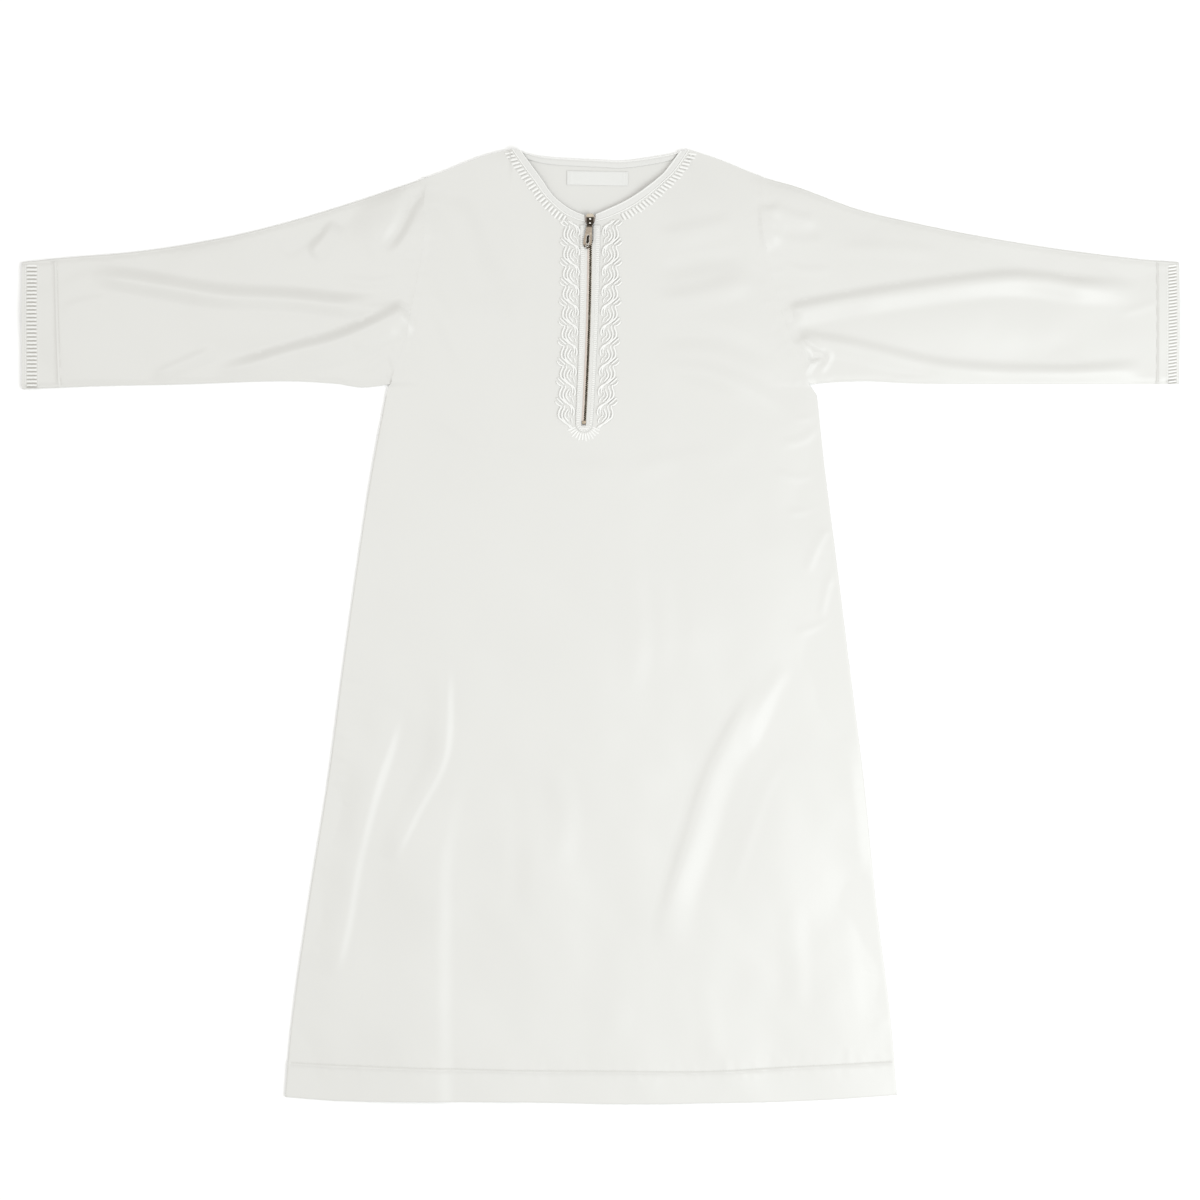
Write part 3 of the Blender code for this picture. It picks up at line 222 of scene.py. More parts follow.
topAt = {-1: reader(topEdge, 1), 1: reader(topEdge, 2)}
underAt = {-1: reader(underEdge, 1), 1: reader(underEdge, 2)}
armholeAt = {-1: reader(armhole, 1), 1: reader(armhole, 2)}
sideAt = {-1: reader(sideSeam, 1), 1: reader(sideSeam, 2)}
hemAt = reader(hem, 1)
hemStitchAt = reader(hem, 2)


def place(x, down):
    return (x, robe["length"] / 2 - down)


def placed(x, down):  # the same for whole rows, as an array of points
    return np.column_stack(place(x, down))


def smoothLine(points, step):  # a soft curve through points, about one step apart
    points = np.array(points, float)
    ends = np.vstack([points[:1], points, points[-1:]])
    line = [points[0]]
    for before, start, end, after in zip(ends, ends[1:], ends[2:], ends[3:]):
        pieces = max(1, round(float(np.hypot(*(end - start))) / step))
        for i in range(1, pieces + 1):
            t = i / pieces
            lead, trail = (end - before) * 0.5, (after - start) * 0.5
            blend = t * t * (3 - 2 * t)
            line.append(start + (end - start) * blend + (lead * (1 - t) - trail * t) * (t * (1 - t)))
    return np.array(line)


def evenly(line, step, closed=False):  # resamples a line at even steps, keeping its ends
    line = np.array(line, float)
    if closed:
        line = np.vstack([line, line[:1]])
    run = np.concatenate([[0], np.cumsum(np.hypot(*np.diff(line, axis=0).T))])
    count = max(2, round(run[-1] / step) + 1)
    at = np.linspace(0, run[-1], count)
    found = np.column_stack([np.interp(at, run, line[:, axis]) for axis in range(line.shape[1])])
    return found[:-1] if closed else found


zipLine = {"x": -0.0096, "drift": 0.0056, "from": 0.0690, "to": 0.2534}


def zipX(down):  # the zip bends a little to the left on its way down
    t = np.maximum(0.0, (np.asarray(down) - zipLine["from"]) / (zipLine["to"] - zipLine["from"]))
    return zipLine["x"] - zipLine["drift"] * t * t


plateau = {"half": 0.0330, "ramp": 0.0240, "end": 0.2740}  # where the zip holds the front up


def plateauAt(x, down):
    aside = np.abs(x - zipX(down)) - plateau["half"]
    below = down - plateau["end"]
    return (1 - ease(aside / plateau["ramp"])) * (1 - ease(below / plateau["ramp"]))


def edgeRoom(x, down):  # distance in from the side seams and the sleeves' folded edges
    out = np.abs(x)
    room = np.full(x.shape, 1.0)
    for side in (-1, 1):
        here = (x * side) >= 0
        above = here & (out > topEdge[0].out)
        room[above] = down[above] - topAt[side](out[above])
        low = here & (down > armhole[-1].down)
        room[low] = np.minimum(room[low], sideAt[side](down[low]) - out[low])
        under = here & (down <= armhole[-1].down) & (out > underEdge[0].out)
        room[under] = np.minimum(room[under], underAt[side](out[under]) - down[under])
    return room


def addFold(x, y, fold, line, total):  # adds one fold's height at every point near it
    reach = max(fold.left, fold.right)
    near = np.flatnonzero((x > line[:, 0].min() - reach) & (x < line[:, 0].max() + reach)
                          & (y > line[:, 1].min() - reach) & (y < line[:, 1].max() + reach))
    if not len(near):
        return
    px, py = x[near], y[near]
    best = np.full(len(near), reach)
    along = np.zeros(len(near))
    flank = np.full(len(near), reach)
    for i in range(len(line) - 1):
        (ax, ay), (bx, by) = line[i], line[i + 1]
        rx, ry = bx - ax, by - ay
        t = np.clip(((px - ax) * rx + (py - ay) * ry) / (rx * rx + ry * ry), 0, 1)
        dx, dy = px - ax - rx * t, py - ay - ry * t
        distance = np.hypot(dx, dy)
        closer = distance < best
        best[closer] = distance[closer]
        along[closer] = (i + t[closer]) / (len(line) - 1)
        flank[closer] = np.where(rx * dy - ry * dx > 0, fold.left, fold.right)[closer]
    u = np.clip(best / flank, 0, 1)
    round_ = 0.5 * (1 + np.cos(math.pi * u))
    blunt = 0.012  # rounds the very crest
    pinched = np.maximum(0, 1 - np.sqrt(u * u + blunt)) ** 1.5 / (1 - math.sqrt(blunt)) ** 1.5
    fade = ease(along / fold.start) * ease((1 - along) / fold.end)
    total[near] += fold.rise * robe["foldScale"] * fade * (round_ * (1 - fold.sharp) + pinched * fold.sharp)


def creases(rows, step):  # a table's folds, each with its line, in metres
    return [(fold._replace(rise=fold.rise / 1000, left=fold.left / 1000, right=fold.right / 1000),
             smoothLine([place(x / 1000, down / 1000) for x, down in fold.path], step)) for fold in rows]


foldLines = creases(mainFolds + smallFolds, 0.006)

# Puckers that the sewing pulls in along the seams: short creases square to the seam
puckers = {  # the pitch along each seam, then the height and the reach of its creases
    "armhole": (0.0085, 0.00045, (0.008, 0.022)),
    "side": (0.0150, 0.00050, (0.008, 0.026)),
    "hem": (0.0110, 0.00040, (0.006, 0.018)),
    "shift": 0.2, "behind": 0.35, "slant": 0.35, "bow": 0.15, "weakest": 0.3, "ridges": 0.6, "trough": -0.7,
    "flank": (0.0022, 0.0042), "sharp": 0.3,
}
rng = np.random.default_rng(20)


def seamPuckers(line, pitch, rise, reach, bothSides):
    line = evenly(line, pitch)
    for i in range(1, len(line) - 1):
        run = line[i + 1] - line[i - 1]
        normal = np.array([-run[1], run[0]]) / np.hypot(*run)
        for side in ((-1, 1) if bothSides else (1,)):
            length = rng.uniform(*reach)
            shift = rng.uniform(-puckers["shift"], puckers["shift"])
            start = line[i] + run * shift - normal * side * length * puckers["behind"]
            turn = rng.uniform(-puckers["slant"], puckers["slant"])
            end = start + (normal * side + run / np.hypot(*run) * turn) * length * (1 + puckers["behind"])
            height = rise * rng.uniform(puckers["weakest"], 1.0)
            height *= 1 if rng.random() < puckers["ridges"] else puckers["trough"]
            flank = rng.uniform(*puckers["flank"])
            middle = (start + end) / 2 + run * rng.uniform(-puckers["bow"], puckers["bow"])
            foldLines.append((Fold(height, flank, flank * 1.2, puckers["sharp"]),
                              smoothLine([start, middle, end], 0.004)))


seamRidge = {"rise": 0.0012, "inner": 0.0060, "outer": 0.0050, "sharp": 0.3}
for side in (-1, 1):
    downs = np.linspace(armhole[0].down - 0.030, armhole[-1].down + 0.020, 40)
    ridge = smoothLine([place(side * (armholeAt[side](d) - 0.0012), d) for d in downs[::2]], 0.006)
    flanks = (seamRidge["inner"], seamRidge["outer"])[::side]
    foldLines.append((Fold(seamRidge["rise"], *flanks, seamRidge["sharp"]), ridge))
    downs = np.linspace(armhole[0].down, armhole[-1].down, 40)
    line = [place(side * armholeAt[side](d), d) for d in downs]
    seamPuckers(line[::-side], *puckers["armhole"], True)
    downs = np.linspace(sideSeam[0].down, sideSeam[-1].down - 0.02, 40)
    line = [place(side * sideAt[side](d), d) for d in downs]
    seamPuckers(line[::-side], *puckers["side"], False)
hemLine = [place(x, hemStitchAt(x)) for x in np.linspace(hem[0].x, hem[-1].x, 60)]
seamPuckers(hemLine, *puckers["hem"], True)

# Low waves of the satin between the folds, a sum of plane waves of many lengths
waveForm = {"shortest": 0.030, "longest": 0.200, "count": 46, "steepness": 0.0016, "bias": 0.4}
waves = []
for length in np.geomspace(waveForm["shortest"], waveForm["longest"], waveForm["count"]):
    turn = rng.uniform(0, math.pi)
    phase = rng.uniform(0, 2 * math.pi)
    rise = waveForm["steepness"] * length * (length / 0.1) ** waveForm["bias"] * rng.uniform(0.5, 1.0)
    pulse = 2 * math.pi / length
    waves.append((pulse * math.cos(turn), pulse * math.sin(turn), phase, rise))


def wavesAt(x, y):
    total = np.zeros(x.shape)
    for kx, ky, phase, rise in waves:
        total += rise * np.sin(kx * x + ky * y + phase)
    return total


def liftAt(x, y):  # how far the upper cloth stands above where it would lie flat
    down = robe["length"] / 2 - y
    free = np.zeros(x.shape)
    for swell in swells:
        across = (x * 1000 - swell.x) / swell.halfWidth
        along = (down * 1000 - swell.down) / swell.halfLength
        free += swell.rise / 1000 * np.maximum(0.0, 1 - across * across - along * along) ** 2
    room = edgeRoom(x, down)
    free += robe["loft"] * ease(room / robe["loftOver"])
    for fold, line in foldLines:
        addFold(x, y, fold, line, free)
    free += wavesAt(x, y)
    held = plateauAt(x, down)
    faded = np.maximum(free, -0.0001) * (1 - held) * ease((room + 0.004) / robe["edgeFade"])
    return robe["zipLift"] * held + faded


hemForm = {
    "rise": 0.0006, "step": 0.0009, "groove": 0.0002, "grooveHalf": 0.0011,
    "ridge": 0.0008, "ridgeAt": 0.0021, "ridgeHalf": 0.0010,
    "rows": (-0.0013, -0.0006, 0.0, 0.0006, 0.0012, 0.0021, 0.0029, 0.0038),
}
cuffs = {
    -1: {"hemTop": 0.0323, "hemBottom": 0.0359, "barsIn": 0.0140, "barsOut": 0.0040,
         "pitch": 0.0035, "slant": 0.0},
    1: {"hemTop": 0.0212, "hemBottom": 0.0212, "barsIn": 0.0102, "barsOut": 0.0022,
        "pitch": 0.0030, "slant": 0.0012},
}


def hemShape(into):  # the step and the stitched groove at a hem, by the distance past its stitching
    groove = np.maximum(0, 1 - np.abs(into) / hemForm["grooveHalf"])
    ridge = np.exp(-((into - hemForm["ridgeAt"]) / hemForm["ridgeHalf"]) ** 2)
    step = hemForm["rise"] * ease(into / hemForm["step"])
    return step - hemForm["groove"] * groove * groove + hemForm["ridge"] * ridge


def cuffHem(side, down):
    t = np.clip((down - topEdge[-1].left) / (underEdge[-1].left - topEdge[-1].left), 0, 1)
    return cuffs[side]["hemTop"] + (cuffs[side]["hemBottom"] - cuffs[side]["hemTop"]) * t


def upperTop(x, y):  # the upper cloth's outer face: lift, hem and cuffs
    x, y = np.atleast_1d(np.asarray(x, float)), np.atleast_1d(np.asarray(y, float))
    down = robe["length"] / 2 - y
    height = frontUnder + liftAt(x, y) + robe["cloth"]
    body = np.abs(x) < 0.30
    height = height + np.where(body, hemShape(down - hemStitchAt(x)), 0.0)
    for side in (-1, 1):
        fromCuff = robe["span"] / 2 - x * side
        height = height + np.where(~body & (x * side > 0), hemShape(cuffHem(side, down) - fromCuff), 0.0)
    return height


print("tables and folds ready:", len(foldLines), "creases")


# Shader building: one class wraps a socket so that maths reads as Python, one builds a material
class Wire:
    def __init__(self, paint, socket):
        self.paint, self.socket = paint, socket

    def sum(self, operation, first, second):
        return self.paint.node("ShaderNodeMath", {"operation": operation}, {0: first, 1: second})

    def __add__(self, other):
        return self.sum("ADD", self, other)

    __radd__ = __add__

    def __sub__(self, other):
        return self.sum("SUBTRACT", self, other)

    def __rsub__(self, other):
        return self.sum("SUBTRACT", other, self)

    def __mul__(self, other):
        return self.sum("MULTIPLY", self, other)

    __rmul__ = __mul__


class Paint:
    def __init__(self, name, **fixed):
        self.material = bpy.data.materials.new(name)
        self.material.use_nodes = True
        self.tree = self.material.node_tree
        self.shader = self.tree.nodes["Principled BSDF"]
        for socket, value in fixed.items():
            self.shader.inputs[socket.replace("_", " ")].default_value = value

    def node(self, kind, settings=None, sockets=None, output=0):
        made = self.tree.nodes.new(kind)
        for key, value in (settings or {}).items():
            if key == "stops":
                while len(made.color_ramp.elements) < len(value):
                    made.color_ramp.elements.new(0.5)
                for element, (at, colour) in zip(made.color_ramp.elements, value):
                    element.position, element.color = at, colour
            else:
                setattr(made, key, value)
        for key, value in (sockets or {}).items():
            if isinstance(value, Wire):
                self.tree.links.new(value.socket, made.inputs[key])
            else:
                made.inputs[key].default_value = value
        return Wire(self, made.outputs[output])

    def feed(self, socket, wire):
        self.tree.links.new(wire.socket, self.shader.inputs[socket])

    def coords(self, scale=(1, 1, 1)):
        where = self.node("ShaderNodeTexCoord", output="Object")
        return self.node("ShaderNodeMapping", {}, {"Vector": where, "Scale": scale})

    def noise(self, scale, detail=2.0, stretch=(1, 1, 1), roughness=0.5):
        return self.node("ShaderNodeTexNoise", {}, {
            "Vector": self.coords(stretch), "Scale": scale, "Detail": detail, "Roughness": roughness})

    def mix(self, factor, one, other):
        made = self.tree.nodes.new("ShaderNodeMix")
        made.data_type = "RGBA"
        for socket, value in ((made.inputs[0], factor), (made.inputs[6], one), (made.inputs[7], other)):
            if isinstance(value, Wire):
                self.tree.links.new(value.socket, socket)
            else:
                socket.default_value = value
        return Wire(self, made.outputs[2])

    def bump(self, height, strength, distance):
        return self.node("ShaderNodeBump", {}, {
            "Height": height, "Strength": strength, "Distance": distance})


def rgb(red, green, blue):
    return (red, green, blue, 1.0)


satinLook = {
    "light": rgb(0.686, 0.681, 0.660), "dark": rgb(0.660, 0.654, 0.632),
    "roughness": 0.40, "sheen": 0.22, "ior": 1.50, "weave": 0.00026, "bump": 0.00003,
}


def satinMaterial(name, look):
    paint = Paint(name, Sheen_Weight=look["sheen"], Sheen_Roughness=0.4, IOR=look["ior"])
    cloud = paint.noise(9.0, 3.0)
    yarn = paint.noise(260.0, 2.0, (1.0, 9.0, 1.0))
    tone = cloud * 0.75 + yarn * 0.25
    paint.feed("Base Color", paint.mix(tone, look["dark"], look["light"]))
    paint.feed("Roughness", look["roughness"] - 0.06 + cloud * 0.12)
    turns = 2 * math.pi / (20 * look["weave"])
    warp = paint.node("ShaderNodeTexWave", {"bands_direction": "X"}, {
        "Vector": paint.coords(), "Scale": turns, "Distortion": 0.6, "Detail": 1.0, "Detail Scale": 0.5})
    weft = paint.node("ShaderNodeTexWave", {"bands_direction": "Y"}, {
        "Vector": paint.coords(), "Scale": turns * 0.5, "Distortion": 0.6, "Detail": 1.0,
        "Detail Scale": 0.5})
    crumple = paint.noise(130.0, 3.0)
    weave = warp * 0.6 + weft * 0.4
    fine = paint.bump(weave, 0.10, look["bump"])
    soft = paint.node("ShaderNodeBump", {}, {
        "Height": crumple, "Strength": 0.25, "Distance": 0.00030, "Normal": fine})
    paint.feed("Normal", soft)
    return paint.material


threadLook = {
    "light": rgb(0.90, 0.898, 0.885), "dark": rgb(0.76, 0.755, 0.735), "roughness": 0.42, "sheen": 0.3,
}


def threadMaterial(name, look, pitch=0.00045):
    paint = Paint(name, Sheen_Weight=look["sheen"], IOR=1.47)
    fuzz = paint.noise(900.0, 2.0)
    paint.feed("Base Color", paint.mix(fuzz, look["dark"], look["light"]))
    paint.feed("Roughness", look["roughness"] - 0.05 + fuzz * 0.12)
    ply = paint.node("ShaderNodeTexWave", {"bands_direction": "DIAGONAL"}, {
        "Vector": paint.coords(), "Scale": 2 * math.pi / (20 * pitch), "Distortion": 1.2, "Detail": 1.0})
    paint.feed("Normal", paint.bump(ply, 0.35, 0.00008))
    return paint.material


# dark: the painted shade on the flanks; litFrom and litTo: how far a face turns up to get its top tone
metalLook = {"dark": rgb(0.030, 0.023, 0.016), "roughness": 0.18, "litFrom": 0.70, "litTo": 0.97}


def metalMaterial(name, look, zones=()):
    # brass with painted light: the top tone where it faces up, painted shade on its flanks and in its
    # zones, and bright noise patches as painted highlights
    paint = Paint(name, Metallic=1.0)
    patinaAndGlint = paint.noise(700.0, 4.0)
    blotch = paint.noise(240.0, 2.0)
    shine = paint.node("ShaderNodeValToRGB", {"stops": [(0.50, rgb(0, 0, 0)), (0.68, rgb(1, 1, 1))]}, {
        "Fac": patinaAndGlint * 0.4 + blotch * 0.6})
    facing = paint.node("ShaderNodeSeparateXYZ", {}, {
        "Vector": paint.node("ShaderNodeTexCoord", output="Normal")}, output="Z")
    upward = paint.node("ShaderNodeMapRange", {"interpolation_type": "SMOOTHSTEP"}, {
        "Value": facing, "From Min": look["litFrom"], "From Max": look["litTo"]})
    # bright: painted highlights, in noise patches over the top tone
    face = paint.mix(shine, look["topTone"], look["bright"])
    along = paint.node("ShaderNodeSeparateXYZ", {}, {
        "Vector": paint.node("ShaderNodeTexCoord", output="Object")}, output="Y")
    for begins, full, colour in zones:
        zone = paint.node("ShaderNodeMapRange", {"interpolation_type": "SMOOTHSTEP"}, {
            "Value": along, "From Min": begins, "From Max": full})
        face = paint.mix(zone, face, colour)
    # painted shade: the flanks take the dark colour
    paint.feed("Base Color", paint.mix(upward, look["dark"], face))
    paint.feed("Roughness", look["roughness"] + patinaAndGlint * 0.2)
    paint.feed("Normal", paint.bump(patinaAndGlint, 0.15, 0.00006))
    return paint.material


def wovenMaterial(name, light, dark, pitch, roughness=0.75):  # plain weave, for the tape and the label
    paint = Paint(name, Sheen_Weight=0.15)
    turns = 2 * math.pi / (20 * pitch)
    across, along = [paint.node("ShaderNodeTexWave", {"bands_direction": axis}, {
        "Vector": paint.coords(), "Scale": turns}) for axis in "XY"]
    cloud = paint.noise(60.0, 3.0)
    weave = across * along
    paint.feed("Base Color", paint.mix(weave * 0.5 + cloud * 0.5, dark, light))
    paint.feed("Roughness", roughness - 0.08 + cloud * 0.16)
    paint.feed("Normal", paint.bump(weave, 0.4, 0.00010))
    return paint.material


satin = satinMaterial("satin", satinLook)
binding = satinMaterial("binding_satin", {
    **satinLook, "light": rgb(0.700, 0.696, 0.679), "dark": rgb(0.672, 0.668, 0.651)})
thread = threadMaterial("embroidery_thread", threadLook)


def thinThread(name, light, dark):
    return threadMaterial(name, {**threadLook, "light": rgb(*light), "dark": rgb(*dark)}, 0.0003)


def brass(name, topTone, bright, zones=()):  # the same brass, with its painted shade and highlights, in the tones of one part
    return metalMaterial(name, {**metalLook, "topTone": rgb(*topTone), "bright": rgb(*bright)}, zones)


sewingThread = thinThread("sewing_thread", (0.72, 0.71, 0.68), (0.64, 0.63, 0.60))
# dark thread laid between the satin bars: painted shade
gapShadeThread = thinThread("gap_shade_thread", (0.46, 0.44, 0.41), (0.37, 0.355, 0.33))
neckGapShadeThread = thinThread("neck_gap_shade_thread", (0.56, 0.55, 0.53), (0.47, 0.46, 0.44))
# the zones are painted shade: the slider dark below its neck end, the pull dark at its eye and at its tip
sliderBrass = brass("slider_brass", (0.48, 0.42, 0.34), (0.70, 0.64, 0.55), [
    (0.3776, 0.3762, rgb(0.040, 0.032, 0.024))])
pullBrass = brass("pull_brass", (0.34, 0.285, 0.23), (0.50, 0.44, 0.36), [
    (0.3666, 0.3684, rgb(0.050, 0.040, 0.030)), (0.3520, 0.3508, rgb(0.10, 0.08, 0.06))])
stopBrass = brass("stop_brass", (0.42, 0.35, 0.27), (0.70, 0.62, 0.50))
chainBrass = brass("chain_brass", (0.16, 0.135, 0.095), (0.52, 0.47, 0.38))
# lighter brass for the teeth's ends: painted highlights
tipBrass = brass("tip_brass", (0.62, 0.56, 0.47), (0.80, 0.75, 0.66))
# near-black brass for the sheet in the pull's slot: painted shade
slotShadeBrass = brass("slot_shade_brass", (0.030, 0.024, 0.018), (0.06, 0.05, 0.04))
# near-white brass as painted highlights: the slider's domes and the pull's rim and ridges
highlightBrass = brass("highlight_brass", (0.93, 0.90, 0.85), (0.97, 0.95, 0.92))
tapeWeave = wovenMaterial("tape_weave", rgb(0.74, 0.655, 0.60), rgb(0.62, 0.54, 0.49), 0.0006)
labelWeave = wovenMaterial("label_weave", rgb(0.765, 0.765, 0.75), rgb(0.70, 0.70, 0.685), 0.0004)
print("materials ready")


# Cloth building
def insideOf(outline, points):
    x, y = points[:, 0], points[:, 1]
    found = np.zeros(len(points), bool)
    for (ax, ay), (bx, by) in zip(outline, np.roll(outline, -1, axis=0)):
        if ay == by:
            continue
        level = (y >= min(ay, by)) & (y < max(ay, by))
        found ^= level & (x < ax + (y - ay) * (bx - ax) / (by - ay))
    return found


def distanceTo(path, points, reach, closed=True):  # plan distance to a path, no more than reach
    best = np.full(len(points), reach)
    order = np.argsort(points[:, 1])
    rising = points[order, 1]
    ends = np.roll(path, -1, axis=0) if closed else path[1:]
    for (ax, ay), (bx, by) in zip(path, ends):
        first = np.searchsorted(rising, min(ay, by) - reach)
        last = np.searchsorted(rising, max(ay, by) + reach)
        near = order[first:last]
        near = near[(points[near, 0] > min(ax, bx) - reach) & (points[near, 0] < max(ax, bx) + reach)]
        if not len(near):
            continue
        rx, ry = bx - ax, by - ay
        size = max(rx * rx + ry * ry, 1e-14)
        px, py = points[near, 0] - ax, points[near, 1] - ay
        t = np.clip((px * rx + py * ry) / size, 0, 1)
        best[near] = np.minimum(best[near], np.hypot(px - rx * t, py - ry * t))
    return best


def clothPoints(outline, step, rings, seams=()):
    # an even staggered grid, with rings of points beside the outline
    low, high = outline.min(axis=0), outline.max(axis=0)
    rows = np.arange(low[1], high[1], step * 0.866)
    columns = np.arange(low[0] - step, high[0] + step, step)
    gx, gy = np.meshgrid(columns, rows)
    gx = gx + (np.arange(len(rows)) % 2)[:, None] * step * 0.5
    grid = np.column_stack([gx.ravel(), gy.ravel()])
    grid = grid[insideOf(outline, grid)]
    margin = (rings[-1] if rings else 0) + step * 0.55
    grid = grid[distanceTo(outline, grid, margin * 1.5) > margin]
    parts = []
    for row in seams:  # and with rows of points along the hems
        row = evenly(row, step)
        row = row[insideOf(outline, row)]
        parts.append(row[distanceTo(outline, row, 0.004) > margin * 0.8])
        grid = grid[distanceTo(row, grid, 0.0012, closed=False) > 0.00119]
    parts.append(grid)
    run = np.roll(outline, -1, axis=0) - np.roll(outline, 1, axis=0)
    normal = np.column_stack([-run[:, 1], run[:, 0]]) / np.hypot(run[:, 0], run[:, 1])[:, None]
    for depth in rings:
        ring = outline + normal * depth
        ring = ring[insideOf(outline, ring)]
        parts.append(ring[distanceTo(outline, ring, depth * 1.2) > depth * 0.9])
    return np.vstack(parts)


class Shell:  # gathers the layers and walls of one piece
    def __init__(self):
        self.verts, self.faces, self.count = [], [], 0

    def layer(self, outline, points, heightAt, flip=False):  # triangles over an outline; returns its rim
        plan = [Vector(p) for p in (np.vstack([outline, points]) if len(points) else outline)]
        size = len(outline)
        ring = [(i, (i + 1) % size) for i in range(size)]
        places, _, faces, sources, _, _ = delaunay_2d_cdt(plan, ring, [], 1, 1e-7)
        flat = np.array([tuple(p) for p in places])
        faces = np.array(faces)
        middle = flat[faces].mean(axis=1)
        faces = faces[insideOf(outline, middle)]
        height = heightAt(flat[:, 0], flat[:, 1], flat)
        rim = [0] * size
        for i, source in enumerate(sources):
            for origin in source:
                if origin < size:
                    rim[origin] = i + self.count
        if flip:
            faces = faces[:, ::-1]
        self.verts.append(np.column_stack([flat, height]))
        self.faces += (faces + self.count).tolist()
        self.count += len(flat)
        return rim

    def wall(self, lower, upper, first=0, last=None):
        size = len(lower)
        for i in range(first, size if last is None else last):
            j = (i + 1) % size
            self.faces.append([lower[i], lower[j], upper[j], upper[i]])

    def tube(self, line, radius, sides=8, normals=None, flat=1.0, twist=0.0, pitch=0.001):
        # a closed tube along a 3-D line; radius may vary along it, and twist adds rope-like ridges
        line = np.array(line, float)
        radius = np.broadcast_to(radius, len(line))
        run = np.gradient(line, axis=0)
        run /= np.linalg.norm(run, axis=1)[:, None]
        up = np.tile([0.0, 0.0, 1.0], (len(line), 1)) if normals is None else normals
        across = np.cross(run, up)
        across /= np.maximum(np.linalg.norm(across, axis=1), 1e-9)[:, None]
        rise = np.cross(across, run)
        along = np.concatenate([[0], np.cumsum(np.linalg.norm(np.diff(line, axis=0), axis=1))])
        turn = np.arange(sides) * 2 * math.pi / sides
        ridge = 1 + twist * np.sin(turn[None, :] + along[:, None] * 2 * math.pi / pitch)
        ring = radius[:, None] * ridge
        spots = (line[:, None, :] + across[:, None, :] * (ring * np.cos(turn))[:, :, None]
                 + rise[:, None, :] * (ring * np.sin(turn) * flat)[:, :, None])
        start = self.count
        self.verts.append(spots.reshape(-1, 3))
        self.count += len(line) * sides
        for i in range(len(line) - 1):
            for j in range(sides):
                k = (j + 1) % sides
                a, b = start + i * sides, start + (i + 1) * sides
                self.faces.append([a + j, a + k, b + k, b + j])
        self.faces.append([start + j for j in range(sides)][::-1])
        self.faces.append([start + (len(line) - 1) * sides + j for j in range(sides)])

    def box(self, low, high):
        x0, y0, z0 = low
        x1, y1, z1 = high
        corners = ((x0, y0), (x1, y0), (x1, y1), (x0, y1))
        self.verts.append(np.array([(x, y, z) for z in (z0, z1) for x, y in corners]))
        c = self.count
        self.faces += [[c + 3, c + 2, c + 1, c], [c + 4, c + 5, c + 6, c + 7]]
        self.faces += [[c + i, c + (i + 1) % 4, c + 4 + (i + 1) % 4, c + 4 + i] for i in range(4)]
        self.count += 8

    def make(self, name, material, body="robe", replaces=(), sharp=50):
        mesh = bpy.data.meshes.new(name)
        mesh.from_pydata(np.vstack(self.verts).tolist(), [], self.faces)
        mesh.validate()
        mesh.shade_smooth()
        mesh.set_sharp_from_angle(angle=math.radians(sharp))
        mesh.materials.append(material)
        piece = bpy.data.objects.new(name, mesh)
        bpy.context.scene.collection.objects.link(piece)
        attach(piece, body)
        if replaces:
            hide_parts(*replaces)
        return piece


def turnDown(distance, radius, drop):  # how far an edge rolls down at a distance in from it
    u = np.clip(1 - distance / radius, 0, 1)
    return drop * (1 - np.sqrt(1 - u * u * 0.999))


def neckSide(rows, steps):  # matching outer and inner points along a neck band
    at = np.linspace(0, len(rows) - 1, (len(rows) - 1) * steps + 1)
    stations = [(i, *row) for i, row in enumerate(rows)]
    columns = [reader(stations, c)(at) for c in (1, 2, 3, 4)]
    outer = placed(columns[0], columns[1])
    inner = placed(columns[2], columns[3])
    return outer, inner


def neckline(rows, steps=8):
    outer, inner = neckSide(rows, steps)
    away = outer - inner
    return outer + away / np.hypot(away[:, 0], away[:, 1])[:, None] * 0.00002


def sideLine(side, reading, rows, count=60):
    downs = np.linspace(rows[0].down, rows[-1].down, count)
    return placed(side * reading[side](downs), downs)


def shoulderLine(side, start):
    end = armholeAt[side](armhole[0].down)
    outs = np.linspace(start, end, 24)
    return placed(side * outs, topAt[side](outs))


def bodyOutline(neckPoints):  # counter-clockwise, from the hem's left end
    xs = np.linspace(hem[0].x, hem[-1].x, 90)
    hemEdge = placed(xs, hemAt(xs))
    parts = [
        hemEdge,
        sideLine(1, sideAt, sideSeam)[::-1],
        sideLine(1, armholeAt, armhole)[::-1][:-1],
        shoulderLine(1, 0.0835)[::-1],
        neckPoints,
        shoulderLine(-1, 0.0835),
        sideLine(-1, armholeAt, armhole)[1:],
        sideLine(-1, sideAt, sideSeam)[:-1],
    ]
    return np.vstack(parts)


def tidyOutline(outline, step):  # even steps, with the corners kept
    keep = [outline[0]]
    for point in outline[1:]:
        if np.hypot(*(point - keep[-1])) > 0.0004:
            keep.append(point)
    keep = np.array(keep)
    if np.hypot(*(keep[0] - keep[-1])) < 0.0004:
        keep = keep[:-1]
    size = len(keep)
    before, after = keep - np.roll(keep, 1, axis=0), np.roll(keep, -1, axis=0) - keep
    cosine = (before * after).sum(axis=1) / (np.hypot(*before.T) * np.hypot(*after.T))
    corners = [i for i in range(size) if cosine[i] < math.cos(math.radians(35))]
    if not corners:
        return evenly(keep, step, closed=True)
    parts = []
    for i, corner in enumerate(corners):
        following = corners[(i + 1) % len(corners)]
        count = (following - corner) % size or size
        run = keep[[(corner + k) % size for k in range(count + 1)]]
        parts.append(evenly(run, step)[:-1])
    return np.vstack(parts)


